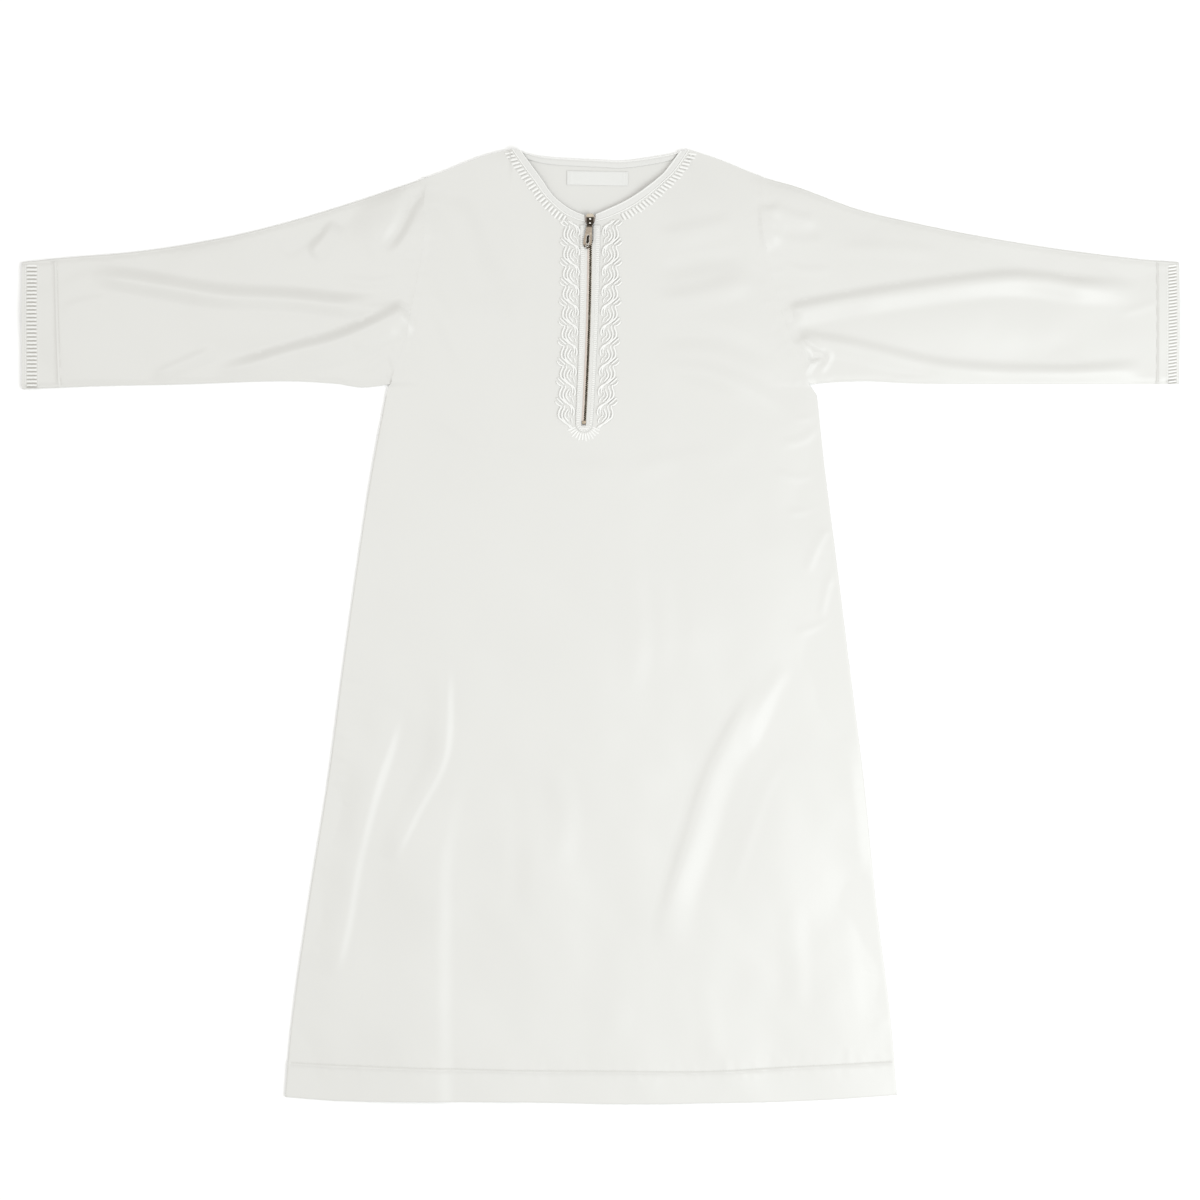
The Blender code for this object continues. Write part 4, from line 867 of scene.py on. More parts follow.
zipForm = {
    "start": 0.0705, "slitHalf": 0.0021, "slitBottom": 0.2542, "tapeHalf": 0.0120, "tapeStart": 0.0700,
    "tapeBottom": 0.2600, "chainStart": 0.0642, "stopStart": 0.2506,
}
slitDowns = np.linspace(zipForm["start"], zipForm["slitBottom"], 60)
slit = np.vstack([
    placed(zipX(slitDowns) + zipForm["slitHalf"], slitDowns),
    placed(zipX(slitDowns) - zipForm["slitHalf"], slitDowns)[::-1],
])
frontNeck = np.vstack([neckline(neckRight), slit, neckline(neckLeft)[::-1]])
frontOutline = tidyOutline(bodyOutline(frontNeck), robe["edge"])
backNeck = np.vstack([[place(0.0825, 0.0009)], neckSide(neckBack, 8)[0][::-1], [place(-0.0825, 0.0)]])
backOutline = tidyOutline(bodyOutline(backNeck), robe["edge"])

hemEdgeXs = np.linspace(hem[0].x, hem[-1].x, 90)
freeEdge = np.vstack([
    sideLine(-1, sideAt, sideSeam), placed(hemEdgeXs, hemAt(hemEdgeXs)),
    sideLine(1, sideAt, sideSeam)[::-1],
])
front = {
    "rings": [0.0003, 0.0009, 0.0018], "roll": 0.0015, "drop": 0.0007,
    "flat": (0.564, 0.880), "area": 0.389,
}
shell = Shell()
hemXs = np.linspace(hem[0].x, hem[-1].x, 220)
hemRows = [placed(hemXs, hemStitchAt(hemXs) + into) for into in hemForm["rows"]]
points = clothPoints(frontOutline, robe["fine"], front["rings"], hemRows)
upper = shell.layer(frontOutline, points, lambda x, y, flat: upperTop(x, y) - turnDown(
    distanceTo(freeEdge, flat, 0.01, closed=False), front["roll"], front["drop"]))
lower = shell.layer(frontOutline, clothPoints(frontOutline, robe["coarse"], []), lambda x, y, flat: (
    upperTop(x, y) - robe["cloth"]), flip=True)
shell.wall(lower, upper)
frontPanel = shell.make("front_cloth", satin, replaces=["front_panel"])
print("front:", len(frontPanel.data.polygons), "faces")

# The back lies on the floor, with shallow creases pressed into its underside
back = {
    "spacing": 0.0060, "rings": [0.0004, 0.0014], "roll": 0.0016, "lift": 0.0005, "flat": (0.564, 0.880),
    "area": 0.389,
}
backFolds = [
    Fold(0.55, 10, 16, 0.4, [(-180, 420), (-200, 540), (-214, 660), (-226, 780)]),
    Fold(0.6, 18, 9, 0.4, [(-118, 500), (-126, 620), (-132, 740), (-128, 850)]),
    Fold(0.6, 16, 10, 0.4, [(150, 460), (122, 560), (96, 660), (80, 760)]),
    Fold(0.45, 12, 14, 0.3, [(190, 560), (196, 660), (210, 770)]),
    Fold(0.45, 14, 12, 0.3, [(-20, 600), (-12, 700), (-22, 800)]),
    Fold(0.45, 12, 14, 0.3, [(-130, 80), (-104, 140), (-94, 220)]),
    Fold(0.45, 14, 12, 0.3, [(130, 90), (96, 150), (70, 220)]),
    Fold(0.4, 12, 12, 0.3, [(-60, 320), (10, 340), (70, 330)]),
    Fold(0.4, 10, 10, 0.4, [(150, 300), (180, 320), (200, 350)]),
]
backLines = creases(backFolds, 0.008)


def backUnder(x, y, flat):
    dents = np.zeros(x.shape)
    for fold, line in backLines:
        addFold(x, y, fold, line, dents)
    return dents + turnDown(distanceTo(backOutline, flat, 0.01), back["roll"], back["lift"])


def backUpper(x, y, flat):
    return backTop - turnDown(distanceTo(backOutline, flat, 0.01), back["roll"], back["lift"] * 0.4)


shell = Shell()
points = clothPoints(backOutline, back["spacing"], back["rings"])
upper = shell.layer(backOutline, points, backUpper)
lower = shell.layer(backOutline, points, backUnder, flip=True)
shell.wall(lower, upper)
backPanel = shell.make("back_cloth", satin, replaces=["back_panel"])
print("back:", len(backPanel.data.polygons), "faces")

# Sleeves: flat tubes, folded along the top and seamed below, open at the cuff
sleeve = {"rings": [0.0003, 0.0009, 0.0018], "roll": 0.0018, "middle": 0.00135, "wall": 0.0006}


def makeSleeve(name, node, side):
    out = robe["span"] / 2
    seam = sideLine(side, armholeAt, armhole, 40)
    underOuts = np.linspace(underEdge[0].out, out, 90)[1:]
    topOuts = np.linspace(abs(seam[0][0]), out, 90)[1:]
    bottom = np.vstack([seam[-1:], placed(side * underOuts, underAt[side](underOuts))])
    top = np.vstack([seam[:1], placed(side * topOuts, topAt[side](topOuts))])
    seam, bottom, top = (evenly(line, robe["edge"]) for line in (seam, bottom, top))
    cuff = evenly([bottom[-1], top[-1]], robe["edge"])
    outline = np.vstack([seam[:-1], bottom[:-1], cuff[:-1], top[::-1][:-1]])
    marks = np.cumsum([0, len(seam) - 1, len(bottom) - 1, len(cuff) - 1, len(top) - 1])
    if side > 0:
        outline = outline[::-1]  # keeps it counter-clockwise
        size = len(outline)
        marks = size - 1 - marks[::-1]
        marks[0], marks[-1] = -1, size - 1
        outline = np.roll(outline, 1, axis=0)
        marks = marks + 1
    ring = np.vstack([outline, outline[:1]])
    spans = [ring[a:b + 1] for a, b in zip(marks, marks[1:])]
    folded = [1, 3] if side < 0 else [0, 2]
    opened = [0, 2] if side < 0 else [1, 3]

    def near(flat, chosen):
        return np.min([distanceTo(spans[i], flat, 0.01, closed=False) for i in chosen], axis=0)

    def foldRoll(flat, reach):  # the folded edges roll in, but not beside the armhole
        sewn = distanceTo(spans[opened[1] if side > 0 else opened[0]], flat, 0.012, closed=False)
        return turnDown(near(flat, folded), reach, 1.0) * ease((sewn - 0.0005) / 0.008)

    def outerTop(x, y, flat):
        height = upperTop(x, y)
        return height - foldRoll(flat, sleeve["roll"]) * (height - sleeve["middle"])

    def outerBottom(x, y, flat):
        return foldRoll(flat, sleeve["roll"]) * sleeve["middle"]

    def innerTop(x, y, flat):
        height = upperTop(x, y) - sleeve["wall"]
        return height - foldRoll(flat, sleeve["roll"] * 1.5) * (height - sleeve["middle"] - 0.0001)

    def innerBottom(x, y, flat):
        rise = sleeve["middle"] - sleeve["wall"] - 0.0001
        return sleeve["wall"] + foldRoll(flat, sleeve["roll"] * 1.5) * rise

    shell = Shell()
    cuffDowns = np.linspace(topEdge[-1].left, underEdge[-1].left, 60)
    cuffRows = [placed(side * (out - cuffHem(side, cuffDowns) + into), cuffDowns)
                for into in hemForm["rows"]]
    finePoints = clothPoints(outline, robe["fine"], sleeve["rings"], cuffRows)
    flatPoints = clothPoints(outline, robe["coarse"], sleeve["rings"][1:])
    inset = outline.copy()
    size = len(outline)
    for i in folded:
        a, b = marks[i], marks[i + 1]
        for k in range(a, b + 1):
            spot = outline[k % size]
            inset[k % size] = spot + np.array([0, 1 if spot[1] < place(0, 0.16)[1] else -1]) * 0.0009
    innerPoints = clothPoints(inset, robe["coarse"], [0.0012])
    up = shell.layer(outline, finePoints, outerTop)
    down = shell.layer(outline, flatPoints, outerBottom, flip=True)
    innerUp = shell.layer(inset, innerPoints, innerTop, flip=True)
    innerDown = shell.layer(inset, innerPoints, innerBottom)
    for i in folded:
        shell.wall(down, up, marks[i], marks[i + 1])
        shell.wall(innerUp, innerDown, marks[i], marks[i + 1])
    for i in opened:
        shell.wall(innerUp, up, marks[i], marks[i + 1])
        shell.wall(down, innerDown, marks[i], marks[i + 1])
    piece = shell.make(name, satin, replaces=[node])
    print(name + ":", len(piece.data.polygons), "faces")
    return piece


makeSleeve("sleeve_cloth_left", "sleeve_left", -1)
makeSleeve("sleeve_cloth_right", "sleeve_right", 1)

# Neck binding: two stitched ridges along it, a soft roll towards the neck
bandForm = {"steps": 18, "ridge": 0.00030, "ripple": 0.00016, "ripplePitch": 0.0016,
            "cords": [(0.08, 0.00058), (0.87, 0.00050)], "backCords": [(0.08, 0.00045)]}
piping = Shell()  # the thread ridges along both edges of the bindings


def bandProfile(thick, side, innerRidge):  # height across the band, from its outer edge to its inner one
    across = np.array([0.0, 0.0, 0.03, 0.09, 0.15, 0.20, 0.27, 0.36, 0.48, 0.60, 0.70, 0.78, 0.84, 0.90,
                       0.96, 1.0, 1.0])

    def swollen(at):  # a soft ridge along the band
        return np.exp(-((across - at) / 0.05) ** 2)

    crown = np.sin(np.clip(across * 3.2, 0, math.pi / 2)) * np.clip((1 - across) * 7, 0, 1) ** 0.5
    ridges = bandForm["ridge"] * (swollen(0.09) + swollen(0.84) * innerRidge)
    height = (side + (thick - side) * crown) * 0.84 + ridges - 0.0002 * swollen(0.22)
    height[0] = height[-1] = 0.0
    return across, height


def makeBand(name, node, rows, underOf, thick, side, cords=bandForm["cords"], innerRidge=1.0):
    outer, inner = neckSide(rows, bandForm["steps"])
    across, height = bandProfile(thick, side, innerRidge)
    middle = (outer + inner) / 2
    under = underOf(middle[:, 0], middle[:, 1])
    run = np.concatenate([[0], np.cumsum(np.hypot(*np.diff(middle, axis=0).T))])
    size = len(across)
    rows3 = []
    for i in range(len(outer)):
        spots = outer[i] + (inner[i] - outer[i]) * across[:, None]
        swing = math.sin(run[i] * 2 * math.pi / bandForm["ripplePitch"])
        ripple = bandForm["ripple"] * swing * (height > 0)
        rows3.append(np.column_stack([spots, under[i] + height + ripple * np.sin(across * math.pi)]))
    shell = Shell()
    shell.verts.append(np.vstack(rows3))
    shell.count = len(outer) * size
    for i in range(len(outer) - 1):
        a, b = i * size, (i + 1) * size
        shell.faces += [[a + j, a + (j + 1) % size, b + (j + 1) % size, b + j] for j in range(size)]
    shell.faces.append(list(range(size))[::-1])
    shell.faces.append([(len(outer) - 1) * size + j for j in range(size)])
    for share, radius in cords:
        line = outer + (inner - outer) * share
        top = under + np.interp(share, across, height)
        piping.tube(np.column_stack([line, top]), radius, sides=8, twist=0.10, pitch=0.0012)
    piece = shell.make(name, binding, replaces=[node])
    return piece


makeBand("binding_left", "neck_band_left", neckLeft, lambda x, y: frontUnder + liftAt(x, y), 0.0024, 0.0016)
makeBand("binding_right", "neck_band_right", neckRight,
         lambda x, y: frontUnder + liftAt(x, y), 0.0024, 0.0016)
makeBand("binding_back", "neck_band_back", neckBack,
         lambda x, y: np.full(x.shape, frontUnder), 0.0008, 0.0003,
         bandForm["backCords"], 0.0)
piping.make("binding_piping", thread)
print("neck bindings ready")

# Woven label, its ends folded under and sewn down
label = {
    "left": -0.0309, "right": 0.0253, "top": 0.0203, "bottom": 0.0332, "turn": -1.0, "thick": 0.0006,
    "edge": 0.0006,
}


def onLabel(x, down):  # it is sewn in at a slight slant
    cx, cd = (label["left"] + label["right"]) / 2, (label["top"] + label["bottom"]) / 2
    cosine, sine = math.cos(math.radians(label["turn"])), math.sin(math.radians(label["turn"]))
    return place(cx + (x - cx) * cosine + (down - cd) * sine, cd + (down - cd) * cosine - (x - cx) * sine)


cols, rows = 64, 18
shell = Shell()
u, v = np.meshgrid(np.linspace(0, 1, cols), np.linspace(0, 1, rows))
lx = label["left"] + (label["right"] - label["left"]) * u
ly = label["bottom"] + (label["top"] - label["bottom"]) * v
px, py = onLabel(lx, ly)
edgeU = np.minimum(u, 1 - u) * (label["right"] - label["left"])
edgeV = np.minimum(v, 1 - v) * (label["bottom"] - label["top"])
endFold = 0.00025 * (1 - ease((edgeU - 0.004) / 0.0012))
sewn = 0.00030 * np.exp(-((edgeU - 0.0022) / 0.0007) ** 2)
top = frontUnder + label["thick"] + endFold - sewn + 0.00010 * np.sin(u * 9.0) * np.sin(v * 3.1)
top -= turnDown(np.minimum(edgeU, edgeV), label["edge"], 0.0004)
for height, flip in ((top, False), (np.full(u.shape, frontUnder), True)):
    start = shell.count
    shell.verts.append(np.column_stack([px.ravel(), py.ravel(), height.ravel()]))
    shell.count += u.size
    for r in range(rows - 1):
        for c in range(cols - 1):
            corner = start + r * cols + c
            face = [corner, corner + 1, corner + cols + 1, corner + cols]
            shell.faces.append(face[::-1] if flip else face)
rim = list(range(cols)) + [r * cols + cols - 1 for r in range(1, rows)]
rim += [(rows - 1) * cols + c for c in range(cols - 2, -1, -1)] + [r * cols for r in range(rows - 2, 0, -1)]
shell.wall([i + u.size for i in rim], rim)
labelPiece = shell.make("label_cloth", labelWeave, replaces=["label"])


def stitches(shell, line, heightAt, pitch, length, radius):
    # a row of sewn stitches that dip into the cloth
    line = evenly(line, pitch)
    for start, end in zip(line[:-1], line[1:]):
        run = (end - start) / np.hypot(*(end - start)) * length
        spots = start + run * np.linspace(0, 1, 5)[:, None]
        height = float(np.mean(heightAt(spots[:, 0], spots[:, 1])))
        arch = np.array([-1.0, 0.45, 0.75, 0.45, -1.0]) * radius
        thick = radius * np.array([0.7, 1.0, 1.0, 1.0, 0.7])
        shell.tube(np.column_stack([spots, height + arch]), thick, sides=6)


def hemRow(offset):
    xs = np.linspace(hem[0].x + 0.002, hem[-1].x - 0.002, 200)
    return placed(xs, hemStitchAt(xs) + offset)


sewing = {"pitch": 0.0027, "length": 0.0022, "radius": 0.00022}
shell = Shell()
stitches(shell, hemRow(0.0), upperTop, sewing["pitch"], sewing["length"], sewing["radius"])
for side in (-1, 1):
    downs = np.linspace(topEdge[-1].left + 0.002, underEdge[-1].left - 0.003, 60)
    for offset in ((0.0,) if side < 0 else (0.0, 0.0022)):
        xs = side * (robe["span"] / 2 - cuffHem(side, downs) + offset)
        stitches(shell, placed(xs, downs), upperTop, sewing["pitch"], sewing["length"], sewing["radius"])
for end in (0.0022, 0.0540):
    side = [(label["left"] + end, label["top"] + 0.001), (label["left"] + end, label["bottom"] - 0.001)]
    stitches(shell, np.array([onLabel(*point) for point in side]), lambda x, y: np.full(
        np.shape(x), frontUnder + label["thick"] - 0.0001), 0.0021, 0.0016, 0.00018)
shell.make("sewing", sewingThread)
print("label and sewing ready")

# Satin-stitched bars: short padded strips, round the neck, at the cuffs and below the zip
bars = {
    "half": 0.00105, "height": 0.00080, "gapHalf": 0.00040, "gapHeight": 0.00022, "twist": 0.06,
    "twistPitch": 0.0006,
}


def bar(shell, start, end, heightAt, half, height):
    t = np.linspace(0, 1, 15)
    start, end = np.array(start, float), np.array(end, float)
    spots = start + (end - start) * t[:, None]
    base = heightAt(spots[:, 0], spots[:, 1])
    shape = np.sqrt(np.clip(1 - (2 * t - 1) ** 6, 0.03, 1))
    shell.tube(np.column_stack([spots, base + height * 0.1]), half * shape, sides=8, flat=height / half,
               twist=bars["twist"], pitch=bars["twistPitch"])


def walk(line, step):
    run = np.concatenate([[0], np.cumsum(np.hypot(*np.diff(line, axis=0).T))])
    at = np.arange(0, run[-1], step)
    return np.column_stack([np.interp(at, run, line[:, axis]) for axis in (0, 1)])


def heading(turn):
    return np.array([math.cos(turn), math.sin(turn)])


neckRays = {
    "pitch": 0.0036, "gap": 0.0004, "length": 0.0090, "last": {-1: 0.0310, 1: 0.0165}, "turn": (6, 62),
}
shell = Shell()
gapShade = Shell()  # painted shade: dark thread bars laid between the bars
for rows, side in ((neckLeft, -1), (neckRight, 1)):
    edge = walk(smoothLine(neckline(rows, 2), neckRays["pitch"]), neckRays["pitch"] / 2)
    midway = evenly(edge, neckRays["pitch"] / 2)
    for i, spot in enumerate(edge[2::2]):
        if abs(spot[0]) > neckRays["last"][side]:
            share = (edge[0][0] - spot[0]) / (edge[0][0] - side * neckRays["last"][side])
            least, most = neckRays["turn"]
            turnNow = math.radians(least + (most - least) * share)
            ray = np.array([side * math.cos(turnNow), -math.sin(turnNow)])
            length = neckRays["length"] * (0.92 + 0.08 * math.sin(i * 2.1))
            bar(shell, spot + ray * neckRays["gap"], spot + ray * (neckRays["gap"] + length), upperTop,
                bars["half"], bars["height"])
            between = midway[min(len(edge) - 1, 2 * i + 3)]
            bar(gapShade, between + ray * 0.0012, between + ray * (neckRays["gap"] + length * 0.9), upperTop,
                bars["gapHalf"], bars["gapHeight"])
shell.make("neck_rays", thread)
gapShade.make("neck_gap_shade", neckGapShadeThread)
gapShade = Shell()

sunburst = {"centre": 0.2530, "reach": (0.0085, 0.0168), "turn": (203, 337), "count": 12}
shell = Shell()
centre = np.array(place(float(zipX(sunburst["centre"])), sunburst["centre"]))
for i, degrees in enumerate(np.linspace(*sunburst["turn"], sunburst["count"])):
    ray = heading(math.radians(degrees))
    reach = sunburst["reach"][1] * (1.0 if i % 2 == 0 else 0.94)
    bar(shell, centre + ray * sunburst["reach"][0], centre + ray * reach, upperTop, 0.00080, 0.00055)
shell.make("sunburst", thread)

for name, side in (("cuff_bars_left", -1), ("cuff_bars_right", 1)):
    cuff = cuffs[side]
    shell = Shell()
    out = robe["span"] / 2
    first, last = float(topAt[side](out)) + cuff["pitch"], float(underAt[side](out)) - cuff["pitch"]

    def cuffBar(into, down, half, height):
        bar(into, place(side * (out - cuff["barsOut"]), down),
            place(side * (out - cuff["barsIn"]), down + cuff["slant"]), upperTop,
            cuff["pitch"] * half, height)

    for down in np.linspace(first, last, round((last - first) / cuff["pitch"]) + 1):
        cuffBar(shell, down, 0.29, 0.0007)
        # painted shade between the cuff bars
        cuffBar(gapShade, down + cuff["pitch"] / 2, 0.16, bars["gapHeight"])
    for inset in (cuff["barsOut"] - 0.0008, cuff["barsIn"] + 0.0009):
        downs = np.linspace(first - 0.001, last + 0.001, 50)
        slant = cuff["slant"] if inset > cuff["barsIn"] else 0
        line = placed(side * (out - inset) + downs * 0, downs + slant)
        stitches(shell, line, upperTop, 0.0024, 0.0020, 0.00030)
    shell.make(name, thread)
gapShade.make("cuff_gap_shade", gapShadeThread)
print("satin bars ready")

# Placket facing: a smooth strip beside the zip and a ribbed one outside it, closed by a round end
placket = {
    "inner": 0.0029, "left": 0.0023, "right": 0.0016, "narrowFrom": 0.0840, "outer": 0.0092, "end": 0.0078,
    "start": 0.0702, "innerEnd": 0.2552, "arc": 0.2530, "thick": 0.0007, "pitch": 0.0018, "rib": 0.00050,
    "ribHalf": 0.00052, "endBars": (0.2561, 0.2576),
}


def innerHalf(side, downs):  # wide beside the slider, close to the chain below it
    share = ease((downs - placket["narrowFrom"]) / 0.004)
    return placket["inner"] + (placket[side] - placket["inner"]) * share


downs = np.linspace(placket["start"], placket["arc"], 70)
innerDowns = np.linspace(placket["start"], placket["innerEnd"], 70)
centre = np.array(place(float(zipX(placket["arc"])), placket["arc"]))
arc = [centre + placket["end"] * heading(a) for a in np.linspace(math.pi, 2 * math.pi, 24)]
taper = (placket["end"] - placket["outer"]) * (downs - downs[0])
outerHalf = placket["outer"] + taper / (downs[-1] - downs[0])
placketOutline = np.vstack([
    placed(zipX(downs) - outerHalf, downs)[:-1], arc,
    placed(zipX(downs) + outerHalf, downs)[::-1][1:],
    placed(zipX(innerDowns) + innerHalf("right", innerDowns), innerDowns),
    placed(zipX(innerDowns) - innerHalf("left", innerDowns), innerDowns)[::-1],
])
placketOutline = tidyOutline(placketOutline, 0.0012)


def placketTop(x, y, flat):
    away = distanceTo(placketOutline, flat, 0.01)
    return trimUnder + placket["thick"] - turnDown(away, 0.0006, 0.0004)


def placketFace(x, y):
    return np.full(np.shape(x), trimUnder + placket["thick"])


shell = Shell()
points = clothPoints(placketOutline, 0.0012, [0.0002, 0.0006])
upper = shell.layer(placketOutline, points, placketTop)
lower = shell.layer(placketOutline, clothPoints(placketOutline, 0.003, []),
                    lambda x, y, flat: np.full(x.shape, trimUnder), flip=True)
shell.wall(lower, upper)
placketPiece = shell.make("placket_cloth", satin, replaces=["placket"])

shell = Shell()
count = int((placket["arc"] - placket["start"]) / placket["pitch"])
for i in range(count):
    down = placket["start"] + 0.001 + i * placket["pitch"]
    share = i / count
    x = float(zipX(down))
    y = place(0, down)[1]
    for low, high in (
            (-0.0089 + 0.0014 * share, -0.0049 + 0.0009 * share), (0.0050, 0.0089 - 0.0014 * share)):
        bar(shell, (x + low, y), (x + high, y), placketFace, placket["ribHalf"], placket["rib"])
for share in (-0.955, -0.5, 0.5, 0.955):
    line = np.column_stack([zipX(downs[:-2]) + share * outerHalf[:-2], place(0, downs[:-2])[1]])
    stitches(shell, line, placketFace, 0.0020, 0.0017, 0.00022)
for r, pitch in ((0.0073, 0.0016), (0.0042, 0.0016)):
    line = np.array([centre + r * heading(a) for a in np.linspace(math.pi * 1.04, math.pi * 1.96, 30)])
    stitches(shell, line, placketFace, pitch, pitch * 0.85, 0.00026)
for k in range(9):
    a = math.pi + math.pi * (k + 0.5) / 9
    ray = heading(a)
    bar(shell, centre + ray * 0.0048, centre + ray * 0.0070, placketFace, 0.00055, placket["rib"])
for down in placket["endBars"]:
    x, y = float(zipX(down)), place(0, down)[1]
    bar(shell, (x - 0.0042, y), (x + 0.0042, y), placketFace, placket["ribHalf"], placket["rib"])
shell.make("placket_ribs", thread)
print("placket ready")

# Embroidery: a repeated scroll of cords. across runs from -1 at the outer edge to 1 by the zip
embroidery = {
    "motifs": 10, "start": 0.0706, "pitch": 0.0184, "half": 0.0090, "radius": 0.00082, "height": 0.00095,
    "twist": 0.09, "twistPitch": 0.0011, "top": 0.0674, "topSlope": 0.15, "bottom": 0.2580,
    "sets": [("left", -1, 0.0184), ("right", 1, 0.0203)],
}
strands = {
    "outerRib": [(-0.45, -0.02), (-0.42, 0.12), (-0.56, 0.28), (-0.62, 0.46), (-0.53, 0.62), (-0.26, 0.74),
                 (0.06, 0.87), (0.38, 0.96), (0.70, 1.05), (0.90, 1.20), (0.96, 1.38), (0.86, 1.54)],
    "innerRib": [(-0.13, -0.02), (-0.06, 0.12), (-0.20, 0.28), (-0.27, 0.45), (-0.21, 0.62), (-0.03, 0.76),
                 (0.20, 0.88), (0.44, 0.99), (0.63, 1.12), (0.70, 1.27), (0.64, 1.42)],
    "leaf": [(0.32, 0.16), (0.16, 0.32), (0.04, 0.47), (0.08, 0.60), (0.28, 0.72), (0.48, 0.83)],
    "upperSpike": [(-0.93, 0.62), (-0.66, 0.76), (-0.38, 0.88), (-0.18, 0.97)],
    "lowerSpike": [(-1.05, 0.79), (-0.86, 0.92), (-0.64, 1.00), (-0.44, 1.02)],
    "tendril": [(0.62, 0.60), (0.77, 0.74), (0.82, 0.90)],
    "curl": [(0.52, 0.26), (0.36, 0.42), (0.44, 0.56), (0.66, 0.60)],
}
cordSize = {
    "outerRib": 1.0, "innerRib": 0.95, "leaf": 0.95, "upperSpike": 0.9, "lowerSpike": 0.95, "tendril": 0.75,
    "curl": 0.7,
}
for name, side, offset in embroidery["sets"]:
    shell = Shell()
    for motif in range(-1, embroidery["motifs"]):
        for kind, path in strands.items():
            if motif >= embroidery["motifs"] - 1 and "Spike" in kind:
                continue
            drawn = []
            for across, along in path:
                down = embroidery["start"] + (motif + along) * embroidery["pitch"]
                x = float(zipX(down)) + side * (offset - across * embroidery["half"])
                drawn.append(place(x, down))
            line = smoothLine(drawn, 0.0005)
            downsNow = robe["length"] / 2 - line[:, 1]
            # the band ends under the neck binding and above the rays
            top = embroidery["top"] - (np.abs(line[:, 0] - zipX(downsNow)) - 0.010) * embroidery["topSlope"]
            line = line[(downsNow > top) & (downsNow < embroidery["bottom"])]
            if len(line) < 6:
                continue
            t = np.linspace(0, 1, len(line))
            lobes = 1 + 0.10 * np.sin(t * math.pi)
            taper = np.sqrt(np.clip(np.minimum(t, 1 - t) * len(line) * 0.0005 / 0.0012, 0.08, 1))
            radius = embroidery["radius"] * cordSize[kind] * lobes * taper
            # a strand passes over its neighbours in the middle and dives at its ends
            above = 0.00025 if kind in ("outerRib", "upperSpike") else 0.0
            over = 0.0004 * np.sin(t * math.pi) ** 0.7 + above
            base = zipFrontTop + embroidery["height"] * 0.25 + over
            shell.tube(np.column_stack([line, base]), radius, sides=8, flat=0.85,
                       twist=embroidery["twist"], pitch=embroidery["twistPitch"])
    shell.make("embroidery_cords_" + name, thread, replaces=["embroidery_" + name])
print("embroidery ready")

# Zip: tape, teeth, stop, slider and pull
tapeDowns = np.linspace(zipForm["tapeStart"], zipForm["tapeBottom"], 40)
tapeOutline = np.vstack([
    placed(zipX(tapeDowns) - zipForm["tapeHalf"], tapeDowns),
    placed(zipX(tapeDowns) + zipForm["tapeHalf"], tapeDowns)[::-1],
])
tapeOutline = tidyOutline(tapeOutline, 0.0020)
shell = Shell()


def tapeTop(x, y, flat):
    aside = np.abs(x - zipX(robe["length"] / 2 - y))
    return frontUnder + 0.0008 + 0.0002 * np.exp(-((aside - 0.0024) / 0.0006) ** 2)


points = clothPoints(tapeOutline, 0.0016, [])
upper = shell.layer(tapeOutline, points, tapeTop)
lower = shell.layer(tapeOutline, clothPoints(tapeOutline, 0.004, []),
                    lambda x, y, flat: np.full(x.shape, frontUnder), flip=True)
shell.wall(lower, upper)
tapePiece = shell.make("tape_cloth", tapeWeave, replaces=["zip_tape"])


def besideZip(start, aside, height, count):  # a line along the zip, down to its stop
    downs = np.linspace(start, zipForm["stopStart"], count)
    return np.column_stack([zipX(downs) + aside, place(0, downs)[1], np.full(count, height)])


teeth = {
    "pitch": 0.0009, "reach": 0.00082, "aside": 0.00050, "low": 0.0030, "high": 0.0051, "core": 0.00048,
    "tip": 0.00150, "tipHigh": 0.0052,
}
shell = Shell()
tips = Shell()  # the teeth's ends, in lighter brass as painted highlights
down = zipForm["chainStart"] + 0.0008
i = 0
while down < zipForm["stopStart"] - 0.0004:
    x, y = float(zipX(down)) + teeth["aside"], place(0, down)[1]
    side = 1 if i % 2 else -1
    inner, outer = sorted((x - side * teeth["core"] * 0.5, x + side * teeth["reach"]))
    shell.box((inner, y - 0.00030, teeth["low"]), (outer, y + 0.00030, teeth["high"] - 0.0003))
    inner, outer = sorted((x + side * teeth["core"], x + side * teeth["reach"]))
    shell.box((inner, y - 0.00034, teeth["low"]), (outer, y + 0.00034, teeth["high"]))
    inner, outer = sorted((x + side * teeth["reach"], x + side * teeth["tip"]))
    tips.box((inner, y - 0.00036, teeth["low"]), (outer, y + 0.00036, teeth["tipHigh"]))
    down += teeth["pitch"]
    i += 1
for aside in (-0.00030, 0.0013):
    shell.tube(besideZip(zipForm["chainStart"] + 0.004, aside, 0.0040, 120), 0.00030, sides=6)
chain = shell.make("chain_teeth", chainBrass, replaces=["zip_chain"], sharp=30)
tips.make("chain_tips", tipBrass, sharp=30)
bevel = chain.modifiers.new("edges", "BEVEL")
bevel.width, bevel.segments, bevel.limit_method = 0.00010, 1, "ANGLE"

shell = Shell()
for aside in (-0.00095, -0.00150, -0.00205):
    line = besideZip(zipForm["chainStart"] + 0.006, aside, 0.0049, 160)
    shell.tube(line, 0.00032, sides=6, twist=0.12, pitch=0.0009)
shell.make("tape_cord", tapeWeave)

# the tape's ends, folded under beside the slider
shell = Shell()
for left, right in ((-0.0152, -0.0128), (-0.0064, -0.0042)):
    shell.box((left, place(0, 0.0716)[1], frontUnder + 0.0010),
              (right, place(0, 0.0618)[1], frontUnder + 0.0020))
tapeEnds = shell.make("tape_ends", tapeWeave)
tapeEnds.modifiers.new("edges", "BEVEL").width = 0.0003


